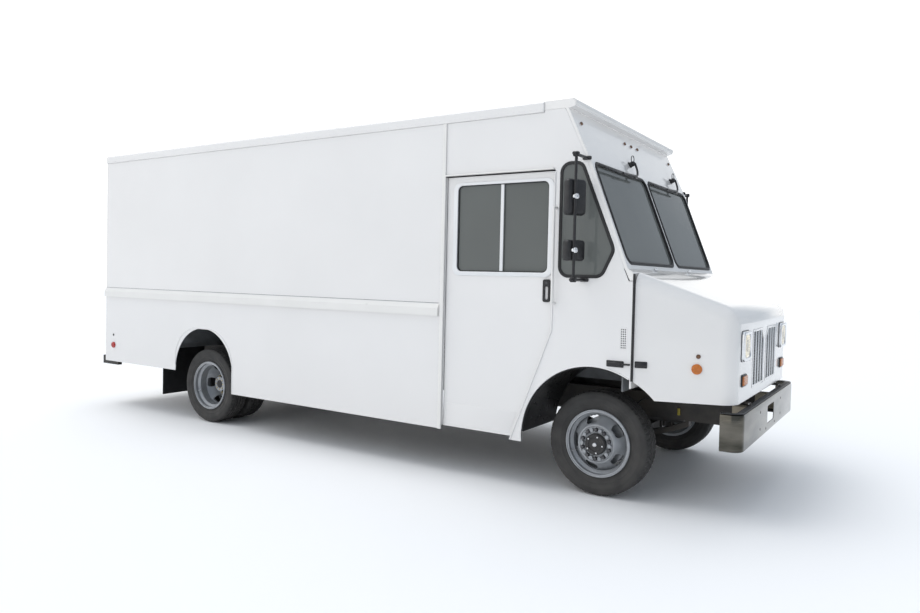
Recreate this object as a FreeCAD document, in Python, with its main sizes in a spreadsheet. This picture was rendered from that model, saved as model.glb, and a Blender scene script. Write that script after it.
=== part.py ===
import FreeCAD, Part
import itertools
import math
import os
import re
import Sketcher

# A walk-in mail delivery van in millimetres.
# +X points forward, +Y to the driver's left, +Z up. The origin lies on the ground, under the middle.

os.makedirs("parts", exist_ok=True)
doc = FreeCAD.newDocument("MailTruck")
Vector = FreeCAD.Vector
Rotation = FreeCAD.Rotation

DIMENSIONS = {
    # How far a cutting tool runs past what it cuts
    "over": 1,
    # Wheels and axles
    "front_axle_x": 2735, "wheelbase": 4520, "axle_z": 405,
    "tyre_radius": 405, "tread_half": 92, "tyre_half": 113, "tyre_wall": 14,
    "shoulder_half": 109, "shoulder_radius": 385, "belly_radius": 339,
    "low_wall_half": 103, "low_wall_radius": 287, "bead_out": 85, "bead_radius": 266,
    "rim_seat": 248, "rim_flange": 262, "rim_inner": 217, "rim_half": 98, "rim_wall": 8,
    "bead_play": 1, "seat_in": 60, "drop_half": 43, "disc_root": 25, "dual_root": 40,
    "front_wheel_y": 927, "rear_outer_y": 1018, "rear_inner_y": 738, "disc_thick": 10,
    "front_disc": 112, "dual_disc": 140, "disc_ring": 150, "disc_bore": 80, "disc_bend": 6,
    "nut_circle": 112, "nut_radius": 14, "nut_length": 26, "hole_circle": 186, "hole_radius": 27,
    "hub_radius": 79, "hub_reach": 120, "dual_hub_reach": 108, "dual_hub_nose": 90, "hub_cap": 30,
    "drum_radius": 190, "drum_width": 90, "spindle": 35, "spindle_end": 1027, "spindle_past": 60,
    "running_fit": 0.05,
    # Steering
    "kingpin_y": 765, "kingpin": 20, "kingpin_half": 115, "boss_radius": 40, "boss_half": 60,
    "yoke_thick": 30, "yoke_half": 45, "yoke_inset": 5, "yoke_play": 2, "web_play": 4, "web_lap": 8,
    "web_thick": 25, "arm_length": 180, "arm_z": 262, "arm_thick": 20, "eye_wall": 6,
    "tie_radius": 18, "tie_end": 23, "tie_cap": 20, "tie_pin": 10, "tie_gap": 3, "tie_z": 225,
    "tie_stub": 4,
    # Chassis
    "rail_y": 430, "rail_half": 40, "rail_low": 560, "rail_high": 760, "rail_web": 8,
    "rail_rear": -3560, "rail_front": 3600,
    "cross_half": 30, "cross_inset": 60, "cross_ahead": 420, "cross_middle": -700,
    "cross_centre": 900, "cross_low": 706, "cross_high": 748,
    "beam_half": 45, "beam_low": 310, "beam_high": 380, "beam_reach": 700, "beam_lap": 40,
    "riser_half": 30, "axle_tube": 70, "rear_tube_end": 560, "banjo": 175, "banjo_rear": 150,
    "banjo_front": 110, "nose_radius": 80, "nose_reach": 260,
    "leaf_half": 37, "leaf_thick": 44, "front_leaf_reach": 540, "rear_leaf_reach": 640,
    "front_leaf_radius": 1150, "rear_leaf_radius": 3400, "front_leaf_low": 384, "rear_leaf_low": 479,
    "gearbox_rear": 1500, "gearbox_front": 2350, "gearbox_half": 190, "gearbox_low": 490,
    "gearbox_high": 800, "tail_length": 250,
    "engine_front": 3250, "engine_half": 255, "engine_low": 600, "engine_top": 1160,
    "sump_rear": 2610, "sump_front": 3150, "sump_half": 175, "sump_low": 480,
    "head_rear": 2430, "head_half": 195, "engine_high": 1280,
    "prop_radius": 45, "prop_flange": 70, "flange_thick": 18, "prop_front_z": 600,
    "prop_rear_z": 440, "prop_gap": 8, "prop_slack": 6,
    "radiator_x": 3420, "radiator_thick": 60, "radiator_half": 350, "radiator_low": 790,
    "radiator_high": 1330,
    "tank_rear": -300, "tank_front": 540, "tank_in": 510, "tank_out": 1080, "tank_low": 420,
    "tank_high": 750, "tank_round": 60,
    "pipe_radius": 32, "pipe_y": -300, "pipe_z": 600, "muffler_radius": 72, "muffler_rear": -300,
    "muffler_front": 600, "pipe_front": 2600, "pipe_exit_x": -1080, "pipe_exit_y": -1120,
    "pipe_exit_z": 480,
    # Body shell
    "body_rear": -3650, "body_half": 1210, "skin": 10, "post_x": 1381, "post_half": 16,
    "skirt_rear": 540, "skirt_mid": 370, "panel_top": 2950,
    "roof_edge": 3035, "roof_top": 3040, "roof_thick": 30, "rail_proud": 12, "rail_depth": 20,
    "roof_round": 12, "roof_front": 2304,
    "arch_rear_low": -2265, "arch_rear_high": -1295, "arch_top_z": 1035, "arch_round": 480,
    "belt_low": 1330, "belt_high": 1430, "belt_lip": 1395, "belt_proud": 22,
    "drip_high": 2505, "drip_tall": 12, "drip_proud": 26,
    "door_rear": 1405, "door_front": 2405, "door_low": 400, "door_high": 2496, "door_knee_z": 1270,
    "door_toe_x": 2060, "door_out": 1190, "door_in": 1160, "door_gap": 6,
    "pane_low": 1708, "pane_high": 2432, "pane_rear": 1512, "pane_front": 2358, "pane_mid": 1934,
    "pane_round": 45, "pane_thick": 5, "pane_edge": 1175, "pane_lap": 20, "pane_play": 4,
    "slide_edge": 1166,
    "handle_rear": 2323, "handle_front": 2386, "handle_low": 1485, "handle_high": 1661,
    "handle_depth": 14, "handle_pin": 6, "handle_gap": 2, "handle_pivot": 24, "handle_sink": 4,
    "hood_seam": 3060, "hood_rear_half": 1197, "hood_front": 3735, "hood_front_half": 985,
    "nose_low": 805, "side_low": 372,
    "arch_front_x": 2755, "arch_front_z": 430, "arch_front_radius": 590,
    "quarter_rear": 2453, "quarter_front": 2912, "quarter_low": 1678, "quarter_high": 2558,
    "quarter_top_x": 2640, "quarter_knee_z": 1887, "quarter_toe_x": 2812, "quarter_round": 85,
    "gasket": 24, "toe_draw": 0.62, "knee_draw": 1.1, "top_draw": 0.68, "gasket_proud": 5,
    "gasket_deep": 14, "pane_sink": 2, "pane_deep": 8, "glass_deep": 20, "glass_sink": 12,
    "screen_top_x": 2700, "screen_top_z": 2558, "screen_low_x": 2998, "screen_low_z": 1784,
    "screen_in": 20, "screen_out": 1175, "screen_round": 85, "cap_thick": 28,
    "visor_x": 2535, "visor_z": 2965, "visor_nose": 2565, "visor_drop": 20, "visor_lift": 12,
    "header_x": 2510, "plane_foot": 1752, "cowl_x": 3052, "cowl_z": 1724, "cowl_lip": 60,
    "cap_play": 3, "firewall_low": 880, "firewall_thick": 16, "engine_room": 40, "hole_play": 25,
    "front_house_rear": 2150, "front_house_front": 2960, "front_house_in": 560,
    "front_house_out": 1110,
    "sill_half": 25, "sill_reach": 1140, "floor_low": 840, "floor_high": 866, "floor_front": 2930,
    "floor_half": 1150, "pan_front": 1350, "pan_thick": 4, "pocket_rear": 590,
    "well_rear": 1420, "well_front": 2040, "well_in": 700, "well_low": 395, "well_thick": 14,
    "house_rear": -2270, "house_front": -1290, "house_in": 590, "house_top": 1060, "house_wall": 12,
    "frame_thick": 50, "rear_open": 940, "rear_sill": 880, "rear_head": 2760,
    "leaf_door": 30, "leaf_gap": 4, "leaf_edge": 948, "hinge_y": 958, "hinge_x": -3691,
    "hinge_radius": 9, "hinge_pad": 26, "hinge_pin_radius": 5, "hinge_inset": 150, "strap_in": 780,
    "lever_stand": 22, "lever_z": 1650, "lever_length": 170, "lever_half": 14, "lever_pin": 9,
    "lever_y": 90,
    # Front end
    "hood_top_rear": 1728, "hood_top_front": 1470, "hood_skin": 12, "hood_side_low": 805,
    "hood_round": 95, "hood_nose_round": 95, "hood_gap": 6, "hood_past": 60,
    "hood_hinge_x": 3755, "hood_hinge_z": 778, "ear_in": 604, "ear_thick": 18, "ear_half": 10,
    "ear_heel": 45, "ear_gap": 2, "tab_tall": 60, "hinge_pin": 6, "lug_thick": 14,
    "grille_in": 30, "grille_out": 470, "grille_low": 870, "grille_high": 1320, "grille_thick": 14,
    "grille_reach": 200, "slot_width": 62, "slot_edge": 24, "slot_pitch": 102,
    "lamp_y": 746, "lamp_z": 1213, "lamp_half": 120, "lamp_tall": 108, "lamp_proud": 28,
    "turn_y": 762, "turn_z": 963, "turn_half": 80, "turn_tall": 44, "turn_proud": 20,
    "bumper_front": 3800, "bumper_rear": 3648, "bumper_half": 1072, "bumper_low": 492,
    "bumper_high": 757, "bumper_skin": 8, "bumper_round": 60, "bumper_run": 50, "lip_width": 60,
    "tow_half": 32, "tow_y": 240, "tow_low": 590, "tow_high": 650,
    "bracket_half": 45, "bracket_high": 730,
    "step_rear": -3800, "step_front": -3480, "step_half": 1150, "step_low": 489, "step_high": 589,
    "step_deep": 150, "step_plate": 8, "return_wide": 50, "knee_half": 30, "knee_lift": 20,
    "knee_high": 740,
    "flap_x": -2540, "flap_thick": 10, "flap_low": 230, "flap_high": 840, "flap_in": 610,
    "flap_out": 1170,
    # Lamps
    "marker_radius": 37, "marker_proud": 14,
    "tail_x": -3479, "tail_z": 741, "tail_y": 1090, "tail_high": 1010, "tail_proud": 20,
    "tail_lamp_half": 50,
    "roof_lamp_z": 2860, "roof_lamp_out": 1090, "roof_lamp_in": 160, "roof_lamp_half": 18,
    # Mirrors and grab rails
    "mirror_y": 1410, "mirror_x": 2672, "mirror_tube": 11, "mirror_low": 1663, "mirror_high": 2573,
    "mirror_end": 1455, "mirror_base": 28, "mirror_foot": 12,
    "head_out": 52, "head_in": 118, "head_depth": 52, "head_round": 28, "head_yaw": 30,
    "head_low": 2135, "head_high": 2400, "spot_low": 1800, "spot_high": 1955,
    "clamp_radius": 17, "clamp_half": 14, "shell_lap": 2,
    "grab_x": 2432, "grab_y": 1262, "grab_tube": 10, "grab_low": 1480, "grab_high": 2210,
    # Wipers, measured in their own plane from the pivot
    "wiper_left_y": 870, "wiper_right_y": -275, "wiper_z": 2655, "wiper_drop": 150,
    "wiper_centre": 410, "wiper_reach": 365, "wiper_rod": 7, "wiper_stand": 46, "wiper_sink": 5,
    "wiper_boss": 24, "wiper_bar": 12, "blade_half": 8, "blade_lift": 11, "blade_top": 36,
    # Cab interior
    "dash_rear": 2480, "dash_front": 2940, "dash_low": 1320, "dash_high": 1560, "dash_half": 1180,
    "cover_rear": 2320, "cover_front": 2920, "cover_half": 300, "cover_high": 1300, "cover_wall": 15,
    "column_radius": 25, "column_length": 330, "column_top": 30, "pin_foot": 40, "pin_top": 20,
    "wheel_y": 620, "wheel_x": 2300, "wheel_z": 1640, "wheel_ring": 215, "wheel_grip": 15,
    "wheel_tilt": -35, "wheel_hub": 45, "wheel_half": 25, "spoke_half": 6, "steer_pin": 12,
    "seat_x": 1880, "seat_y": 620, "seat_half_x": 240, "seat_half_y": 235, "seat_low": 1240,
    "seat_high": 1350, "pedestal_half": 160, "back_thick": 110, "back_high": 2000, "back_half": 220,
    "seat_round": 45, "seat_gap": 4, "rail_play": 2,
    "brake_y": 460, "throttle_y": 370, "brake_half": 36, "throttle_half": 26, "pedal_x": 2590,
    "pedal_z": 1250, "pedal_drop": 250, "pedal_arm": 8, "pedal_pin": 10, "pedal_pad": 70,
    "pedal_thick": 12, "pedal_rod_in": 330, "pedal_rod_out": 510, "pedal_eye": 20,
}

SIDES = {"left": 1, "right": -1}
REAR_AXLE = "(front_axle_x - wheelbase)"
TAPER = "((hood_rear_half - hood_front_half) / (hood_front - hood_seam))"
RAKE = "((screen_low_x - screen_top_x) / (screen_top_z - screen_low_z))"
HEADER = "((screen_top_x - header_x) / (visor_z - screen_top_z))"
WORD = re.compile(r"[A-Za-z_]+")
FUNCTIONS = {"sin", "cos", "atan", "sqrt", "deg"}
AXES = {"X": Vector(1, 0, 0), "Y": Vector(0, 1, 0), "Z": Vector(0, 0, 1)}
TURN = {"X": Rotation(Vector(0, 1, 0), 90), "Y": Rotation(Vector(1, 0, 0), -90), "Z": Rotation()}
OFFSET_SIGN = {"XY": 1, "XZ": -1, "YZ": 1}
SILLS = (-3200, -2500, -1050, -350, 350, 1050)
HAND_HOLES = 5
HOLE_TURNS = (-8, 0, 8)
SPOKES = 3
WHEEL_NUTS = 10
LITRE = 1e6
KEPT = []


def fill_sheet():
    """Write the driving dimensions into the spreadsheet, one alias to a row."""
    sheet = doc.addObject("Spreadsheet::Sheet", "Dims")
    for row, (alias, size) in enumerate(DIMENSIONS.items(), start=1):
        sheet.set(f"A{row}", alias)
        sheet.set(f"B{row}", str(size))
        sheet.setAlias(f"B{row}", alias)
    doc.recompute()


def bind(item, field, formula):
    """Bind a property to a formula written in the sheet's own words."""
    named = WORD.sub(lambda word: word.group() if word.group() in FUNCTIONS else "Dims." + word.group(),
                     str(formula))
    item.setExpression(field, named)


def put(item, place, axis="Y", angle="0"):
    """Place a piece built about the origin: turn it about a row axis, then move it."""
    item.Placement = FreeCAD.Placement(Vector(), Rotation(AXES[axis], 1))
    bind(item, "Placement.Rotation.Angle", angle)
    for letter, spot in zip("xyz", place):
        bind(item, f"Placement.Base.{letter}", spot)
    return item


def keep(item, label):
    """Mark a finished sub-part, whose label becomes its file name."""
    item.Label = label
    KEPT.append(item)
    return item


def flip(side, near, far):
    """A span across the van, from near to far, on the left (1) or mirrored to the right (-1)."""
    return (near, far) if side > 0 else (f"-({far})", f"-({near})")


def box(name, xs, ys, zs):
    """A block from its low to its high value along each axis."""
    item = doc.addObject("Part::Box", name)
    for field, axis, (low, high) in zip(("Length", "Width", "Height"), "xyz", (xs, ys, zs)):
        bind(item, field, f"({high}) - ({low})")
        bind(item, f"Placement.Base.{axis}", low)
    return item


def rod(name, axis, radius, span, centre):
    """A round bar along one axis, over a span of it, through the other two coordinates in order."""
    item = doc.addObject("Part::Cylinder", name)
    item.Placement = FreeCAD.Placement(Vector(), TURN[axis])
    bind(item, "Radius", radius)
    bind(item, "Height", f"({span[1]}) - ({span[0]})")
    spots = list(centre)
    spots.insert("XYZ".index(axis), span[0])
    for letter, spot in zip("xyz", spots):
        bind(item, f"Placement.Base.{letter}", spot)
    return item


def cut(name, base, *tools):
    """A base with each tool cut from it in turn."""
    for number, tool in enumerate(tools):
        item = doc.addObject("Part::Cut", f"{name}_{number}")
        item.Base = base
        item.Tool = tool
        base = item
    return base


def fuse(name, *pieces):
    """Pieces joined into one solid."""
    item = doc.addObject("Part::MultiFuse", name)
    item.Shapes = list(pieces)
    item.Refine = True
    return item


def common(name, *pieces):
    """What the pieces share."""
    item = doc.addObject("Part::MultiCommon", name)
    item.Shapes = list(pieces)
    return item


def group(name, *pieces):
    """Separate solids that share one node."""
    item = doc.addObject("Part::Compound", name)
    item.Links = list(pieces)
    return item


def outline(body, name, plane, points, height):
    """A closed sketch of straight sides, each point held by two bound distances."""
    sketch = body.newObject("Sketcher::SketchObject", name)
    role = f"{plane}_Plane"
    origin = [item for item in body.Origin.OriginFeatures if item.Role == role][0]
    sketch.AttachmentSupport = [(origin, "")]
    sketch.MapMode = "FlatFace"
    bind(sketch, "AttachmentOffset.Base.z", height)
    count = len(points)
    start_radius = 500
    spots = []
    for number in range(count):
        angle = math.tau * number / count
        spots.append(Vector(start_radius * math.cos(angle), start_radius * math.sin(angle), 0))
    lines = [Part.LineSegment(spots[i], spots[(i + 1) % count]) for i in range(count)]
    sketch.addGeometry(lines, False)
    for number, (across, up) in enumerate(points):
        follower = (number + 1) % count
        sketch.addConstraint(Sketcher.Constraint("Coincident", number, 2, follower, 1))
        for kind, size, formula in (
            ("DistanceX", spots[number].x, across),
            ("DistanceY", spots[number].y, up),
        ):
            index = sketch.addConstraint(Sketcher.Constraint(kind, -1, 1, number, 1, size))
            bind(sketch, f"Constraints[{index}]", formula)
    return sketch


def prism(name, plane, points, span, corners=(), radius=None):
    """A body padded from an outline over a span, with the named corners rounded."""
    body = doc.addObject("PartDesign::Body", name)
    low, high = span
    height = low if OFFSET_SIGN[plane] > 0 else f"-({high})"
    sketch = outline(body, f"{name}_sketch", plane, points, height)
    pad = body.newObject("PartDesign::Pad", f"{name}_pad")
    pad.Profile = sketch
    bind(pad, "Length", f"({high}) - ({low})")
    if radius:
        doc.recompute()
        fillet = body.newObject("PartDesign::Fillet", f"{name}_fillet")
        fillet.Base = (pad, corner_edges(sketch, pad, corners or range(len(points))))
        bind(fillet, "Radius", radius)
    return body


def corner_edges(sketch, pad, corners):
    """Names of the padded edges that rise from the given points of a sketch."""
    spots = [sketch.Placement.multVec(sketch.Geometry[i].StartPoint) for i in corners]
    rise = sketch.Placement.Rotation.multVec(Vector(0, 0, 1))
    near = 0.01
    names = []
    for number, edge in enumerate(pad.Shape.Edges, start=1):
        ends = [vertex.Point for vertex in edge.Vertexes]
        along = (ends[-1] - ends[0]).normalize()
        touches = any((end - spot).Length < near for end in ends for spot in spots)
        if touches and abs(abs(along.dot(rise)) - 1) < near:
            names.append(f"Edge{number}")
    return names


def turning(name, profile, place, side=1):
    """A body turned about the Y axis from points of (distance outboard, radius)."""
    body = doc.addObject("PartDesign::Body", name)
    sketch = outline(body, f"{name}_sketch", "YZ", profile, 0)
    turn = body.newObject("PartDesign::Revolution", f"{name}_turn")
    turn.Profile = sketch
    turn.ReferenceAxis = (sketch, ["H_Axis"])
    turn.Angle = 360
    body.Placement = FreeCAD.Placement(Vector(), Rotation(Vector(0, 0, 1), 0 if side > 0 else 180))
    for letter, spot in zip("xyz", place):
        bind(body, f"Placement.Base.{letter}", spot)
    return body


def mirrored_profile(half):
    """A turned profile completed from its outboard half."""
    return half + [(f"-({across})", up) for across, up in reversed(half)]


# Wheels

def tyre(name, place, side):
    """A hollow tyre, open at the beads."""
    half = [
        ("tread_half", "tyre_radius"), ("shoulder_half", "shoulder_radius"),
        ("tyre_half", "belly_radius"), ("low_wall_half", "low_wall_radius"),
        ("bead_out", "bead_radius"), ("bead_out", "rim_seat"), ("bead_out - tyre_wall", "rim_seat"),
        ("bead_out - tyre_wall", "bead_radius + tyre_wall / 2"),
        ("low_wall_half - tyre_wall", "low_wall_radius"), ("tyre_half - tyre_wall", "belly_radius"),
        ("tread_half - tyre_wall", "shoulder_radius - tyre_wall / 2"),
    ]
    return turning(name, mirrored_profile(half), place, side)


def rim_barrel(name, place, side):
    """A wheel's barrel with its two flanges."""
    half = [
        ("rim_half", "rim_flange"), ("bead_out + bead_play", "rim_flange"),
        ("bead_out + bead_play", "rim_seat"), ("seat_in", "rim_seat"),
        ("drop_half", "rim_inner + rim_wall"),
    ]
    under = [
        ("drop_half + rim_wall / 2", "rim_inner"), ("seat_in + rim_wall / 2", "rim_seat - rim_wall"),
        ("rim_half", "rim_seat - rim_wall"),
    ]
    loop = mirrored_profile(half) + [(f"-({across})", up) for across, up in reversed(under)] + under
    return turning(f"{name}_barrel", loop, place, side)


def front_rim(name, place, side):
    """A wheel whose disc bulges outboard, pierced by five hand holes."""
    points = [
        ("disc_root - disc_thick", "rim_inner + over"), ("disc_root", "rim_inner + over"),
        ("front_disc", "disc_ring"), ("front_disc", "disc_bore"),
        ("front_disc - disc_thick", "disc_bore"), ("front_disc - disc_thick", "disc_ring - disc_bend"),
    ]
    disc = turning(f"{name}_disc", points, place, side)
    steel = fuse(f"{name}_steel", rim_barrel(name, place, side), disc)
    return cut(f"{name}_pierced", steel, *hand_holes(name, place, side, "0", "dual_disc"))


def dual_rim(name, place, side):
    """A wheel whose disc lies inboard of its barrel, where the pair of wheels meet."""
    points = [
        ("-dual_root", "rim_inner + over"), ("-(dual_root - disc_thick)", "rim_inner + over"),
        ("-(dual_disc - disc_thick)", "disc_ring"), ("-(dual_disc - disc_thick)", "disc_bore"),
        ("-dual_disc", "disc_bore"), ("-dual_disc", "disc_ring - disc_bend"),
    ]
    disc = turning(f"{name}_disc", points, place, side)
    steel = fuse(f"{name}_steel", rim_barrel(name, place, side), disc)
    return cut(f"{name}_pierced", steel, *hand_holes(name, place, side, "-dual_disc", "0"))


def hand_holes(name, place, side, low, high):
    """Tools for the long holes between a wheel's mounting ring and its barrel, over a depth outboard."""
    holes = []
    middle = f"({place[1]}) * {side}"
    for number, turn in itertools.product(range(HAND_HOLES), HOLE_TURNS):
        angle = math.tau * (number + 0.5) / HAND_HOLES + math.radians(turn)
        x = f"({place[0]}) + hole_circle * {math.cos(angle):.6f}"
        z = f"({place[2]}) + hole_circle * {math.sin(angle):.6f}"
        span = flip(side, f"{middle} + ({low})", f"{middle} + ({high})")
        holes.append(rod(f"{name}_hole{number}", "Y", "hole_radius", span, (x, z)))
    return holes


def nuts(name, place, side, start):
    """Wheel nuts standing on the disc's mounting face."""
    made = []
    for number in range(WHEEL_NUTS):
        angle = math.tau * number / WHEEL_NUTS
        x = f"({place[0]}) + nut_circle * {math.cos(angle):.6f}"
        z = f"({place[2]}) + nut_circle * {math.sin(angle):.6f}"
        span = flip(side, start, f"{start} + nut_length")
        made.append(rod(f"{name}{number}", "Y", "nut_radius", span, (x, z)))
    return made


def hub(name, centre_x, side, drum, seat, nose):
    """A hub bored to run on its spindle, with a brake drum inboard and a seat for the wheel's disc."""
    centre = (centre_x, "axle_z")
    inner = f"{drum} - drum_width"
    barrel = rod(f"{name}_barrel", "Y", "hub_radius", flip(side, drum, nose), centre)
    flange = rod(f"{name}_flange", "Y", "drum_radius", flip(side, drum, f"{drum} + disc_thick"), centre)
    ring_y = flip(side, f"{seat} - 2 * disc_thick", seat)
    ring = rod(f"{name}_ring", "Y", "disc_ring - disc_thick", ring_y, centre)
    drum_out = rod(f"{name}_drum", "Y", "drum_radius", flip(side, inner, drum), centre)
    drum_in = rod(f"{name}_hollow", "Y", "drum_radius - disc_thick", flip(side, inner, drum), centre)
    solid = fuse(f"{name}_solid", barrel, flange, ring, cut(f"{name}_shell", drum_out, drum_in))
    bore_y = flip(side, f"{inner} - over", f"{nose} - hub_cap")
    bore = rod(f"{name}_bore", "Y", "spindle + running_fit", bore_y, centre)
    return cut(name, solid, bore)


def front_wheels():
    """Single front wheels, whose discs bulge outboard over the hub."""
    for word, side in SIDES.items():
        place = ("front_axle_x", f"{side} * front_wheel_y", "axle_z")
        keep(tyre(f"front_tyre_{word}_body", place, side), f"front_tyre_{word}")
        face = "front_wheel_y + front_disc"
        disc = front_rim(f"front_rim_{word}_body", place, side)
        core = hub(f"front_hub_{word}", "front_axle_x", side, f"{face} - hub_reach",
                   f"{face} - disc_thick", f"{face} + hub_cap")
        studs = nuts(f"front_nut_{word}_", place, side, face)
        keep(group(f"front_rim_{word}_group", disc, core, *studs), f"front_rim_{word}")


def rear_wheels():
    """Dual rear wheels, whose discs meet between the tyres."""
    face = "rear_outer_y - dual_disc"
    for word, side in SIDES.items():
        outer = (REAR_AXLE, f"{side} * rear_outer_y", "axle_z")
        inner = (REAR_AXLE, f"{side} * rear_inner_y", "axle_z")
        tyres = [
            tyre(f"rear_tyre_outer_{word}", outer, side),
            tyre(f"rear_tyre_inner_{word}", inner, side),
        ]
        keep(group(f"rear_tyre_group_{word}", *tyres), f"rear_tyres_{word}")
        rims = [
            dual_rim(f"rear_rim_outer_{word}", outer, side),
            dual_rim(f"rear_rim_inner_{word}", inner, -side),
        ]
        core = hub(f"rear_hub_{word}", REAR_AXLE, side, f"{face} - dual_hub_reach",
                   f"{face} - disc_thick", f"{face} + disc_thick + dual_hub_nose")
        studs = nuts(f"rear_nut_{word}_", outer, side, f"{face} + disc_thick")
        keep(group(f"rear_rim_group_{word}", *rims, core, *studs), f"rear_rims_{word}")


# Chassis

def chassis_frame():
    """Two channel rails and the crossmembers between them."""
    pieces = []
    for word, side in SIDES.items():
        outer = box(f"rail_{word}", ("rail_rear", "rail_front"),
                    flip(side, "rail_y - rail_half", "rail_y + rail_half"), ("rail_low", "rail_high"))
        hollow = box(f"rail_hollow_{word}", ("rail_rear - over", "rail_front + over"),
                     flip(side, "rail_y - rail_half - over", "rail_y + rail_half - rail_web"),
                     ("rail_low + rail_web", "rail_high - rail_web"))
        pieces.append(cut(f"rail_channel_{word}", outer, hollow))
    members = {
        "rear": "rail_rear + cross_inset", "axle": f"{REAR_AXLE} + cross_ahead",
        "middle": "cross_middle", "centre": "cross_centre", "front": "rail_front - cross_inset",
    }
    for word, x in members.items():
        pieces.append(box(f"cross_{word}", (f"{x} - cross_half", f"{x} + cross_half"),
                          ("-(rail_y - rail_half)", "rail_y - rail_half"), ("cross_low", "cross_high")))
    keep(group("chassis_group", *pieces), "chassis_frame")


def front_axle():
    """A dropped front beam with a kingpin standing in a boss at each end."""
    pieces = [
        box("beam", ("front_axle_x - beam_half", "front_axle_x + beam_half"),
            ("-beam_reach", "beam_reach"), ("beam_low", "beam_high")),
    ]
    for word, side in SIDES.items():
        y = f"{side} * kingpin_y"
        pieces.append(box(f"beam_end_{word}",
                          ("front_axle_x - riser_half", "front_axle_x + riser_half"),
                          flip(side, "beam_reach - beam_lap", "kingpin_y"),
                          ("beam_high - riser_half", "axle_z + riser_half")))
        pieces.append(rod(f"boss_{word}", "Z", "boss_radius",
                          ("axle_z - boss_half", "axle_z + boss_half"), ("front_axle_x", y)))
        pieces.append(rod(f"kingpin_{word}", "Z", "kingpin",
                          ("axle_z - kingpin_half", "axle_z + kingpin_half"), ("front_axle_x", y)))
    keep(fuse("front_axle_solid", *pieces), "front_axle_beam")


def rear_axle():
    """A banjo housing with its tubes and spindles."""
    face = "rear_outer_y - dual_disc"
    pieces = [
        rod("axle_tube_bar", "Y", "axle_tube", ("-rear_tube_end", "rear_tube_end"),
            (REAR_AXLE, "axle_z")),
        rod("banjo_bowl", "X", "banjo", (f"{REAR_AXLE} - banjo_rear", f"{REAR_AXLE} + banjo_front"),
            ("0", "axle_z")),
        rod("banjo_nose", "X", "nose_radius",
            (f"{REAR_AXLE} + banjo_front", f"{REAR_AXLE} + nose_reach"), ("0", "prop_rear_z")),
        rod("rear_spindles", "Y", "spindle", (f"-({face} + spindle_past)", f"{face} + spindle_past"),
            (REAR_AXLE, "axle_z")),
    ]
    keep(fuse("rear_axle_solid", *pieces), "rear_axle_housing")


def leaf_springs():
    """Four leaf packs, each part of a wide ring, seated on their axles."""
    packs = {
        "front": ("front_axle_x", "front_leaf_low", "front_leaf_radius", "front_leaf_reach"),
        "rear": (REAR_AXLE, "rear_leaf_low", "rear_leaf_radius", "rear_leaf_reach"),
    }
    made = []
    for end, (x, low, radius, reach) in packs.items():
        for word, side in SIDES.items():
            name = f"leaf_{end}_{word}"
            span = flip(side, "rail_y - leaf_half", "rail_y + leaf_half")
            outer = rod(f"{name}_outer", "Y", radius, span, (x, f"{low} + {radius}"))
            inner = rod(f"{name}_inner", "Y", f"{radius} - leaf_thick", span, (x, f"{low} + {radius}"))
            window = box(f"{name}_window", (f"{x} - {reach}", f"{x} + {reach}"), span,
                         (low, "rail_low"))
            made.append(common(name, cut(f"{name}_ring", outer, inner), window))
    keep(group("leaf_group", *made), "leaf_springs")


def powertrain():
    """An engine with its sump, and the gearbox behind it, on the centre line."""
    engine = box("engine", ("gearbox_front", "engine_front"), ("-engine_half", "engine_half"),
                 ("engine_low", "engine_top"))
    sump = box("sump", ("sump_rear", "sump_front"), ("-sump_half", "sump_half"),
               ("sump_low", "engine_low"))
    head = box("engine_head", ("head_rear", "sump_front"), ("-head_half", "head_half"),
               ("engine_top", "engine_high"))
    bell = box("gearbox", ("gearbox_rear + tail_length", "gearbox_front"),
               ("-gearbox_half", "gearbox_half"), ("gearbox_low", "gearbox_high"))
    tail = rod("gearbox_tail", "X", "gearbox_half / 2", ("gearbox_rear", "gearbox_rear + tail_length"),
               ("0", "prop_front_z"))
    keep(fuse("powertrain_solid", engine, sump, head, bell, tail), "powertrain")


def prop_shaft():
    """A straight shaft with a flange at each end, falling from the gearbox to the rear axle."""
    front = "(gearbox_rear - prop_gap)"
    rear = f"({REAR_AXLE} + nose_reach + prop_gap)"
    slope = f"((prop_front_z - prop_rear_z) / ({front} - {rear}))"
    stretch = f"(({front} - {rear}) * sqrt(1 + {slope} ^ 2) - 2 * prop_slack)"
    tube = rod("prop_tube", "X", "prop_radius", ("prop_slack", f"prop_slack + {stretch}"), ("0", "0"))
    yoke_rear = rod("prop_rear_yoke", "X", "prop_flange", ("prop_slack", "prop_slack + flange_thick"),
                    ("0", "0"))
    yoke_front = rod("prop_front_yoke", "X", "prop_flange",
                     (f"prop_slack + {stretch} - flange_thick", f"prop_slack + {stretch}"), ("0", "0"))
    shaft = fuse("prop_solid", tube, yoke_rear, yoke_front)
    put(shaft, (rear, "0", "prop_rear_z"), "Y", f"-atan({slope})")
    keep(shaft, "prop_shaft")


def radiator():
    """The radiator core, upright behind the grille."""
    keep(box("radiator_core", ("radiator_x", "radiator_x + radiator_thick"),
             ("-radiator_half", "radiator_half"), ("radiator_low", "radiator_high")), "radiator")


def fuel_tank():
    """A rounded tank slung outside the left rail."""
    points = [("tank_in", "tank_low"), ("tank_out", "tank_low"), ("tank_out", "tank_high"),
              ("tank_in", "tank_high")]
    keep(prism("tank", "YZ", points, ("tank_rear", "tank_front"), radius="tank_round"), "fuel_tank")


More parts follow.
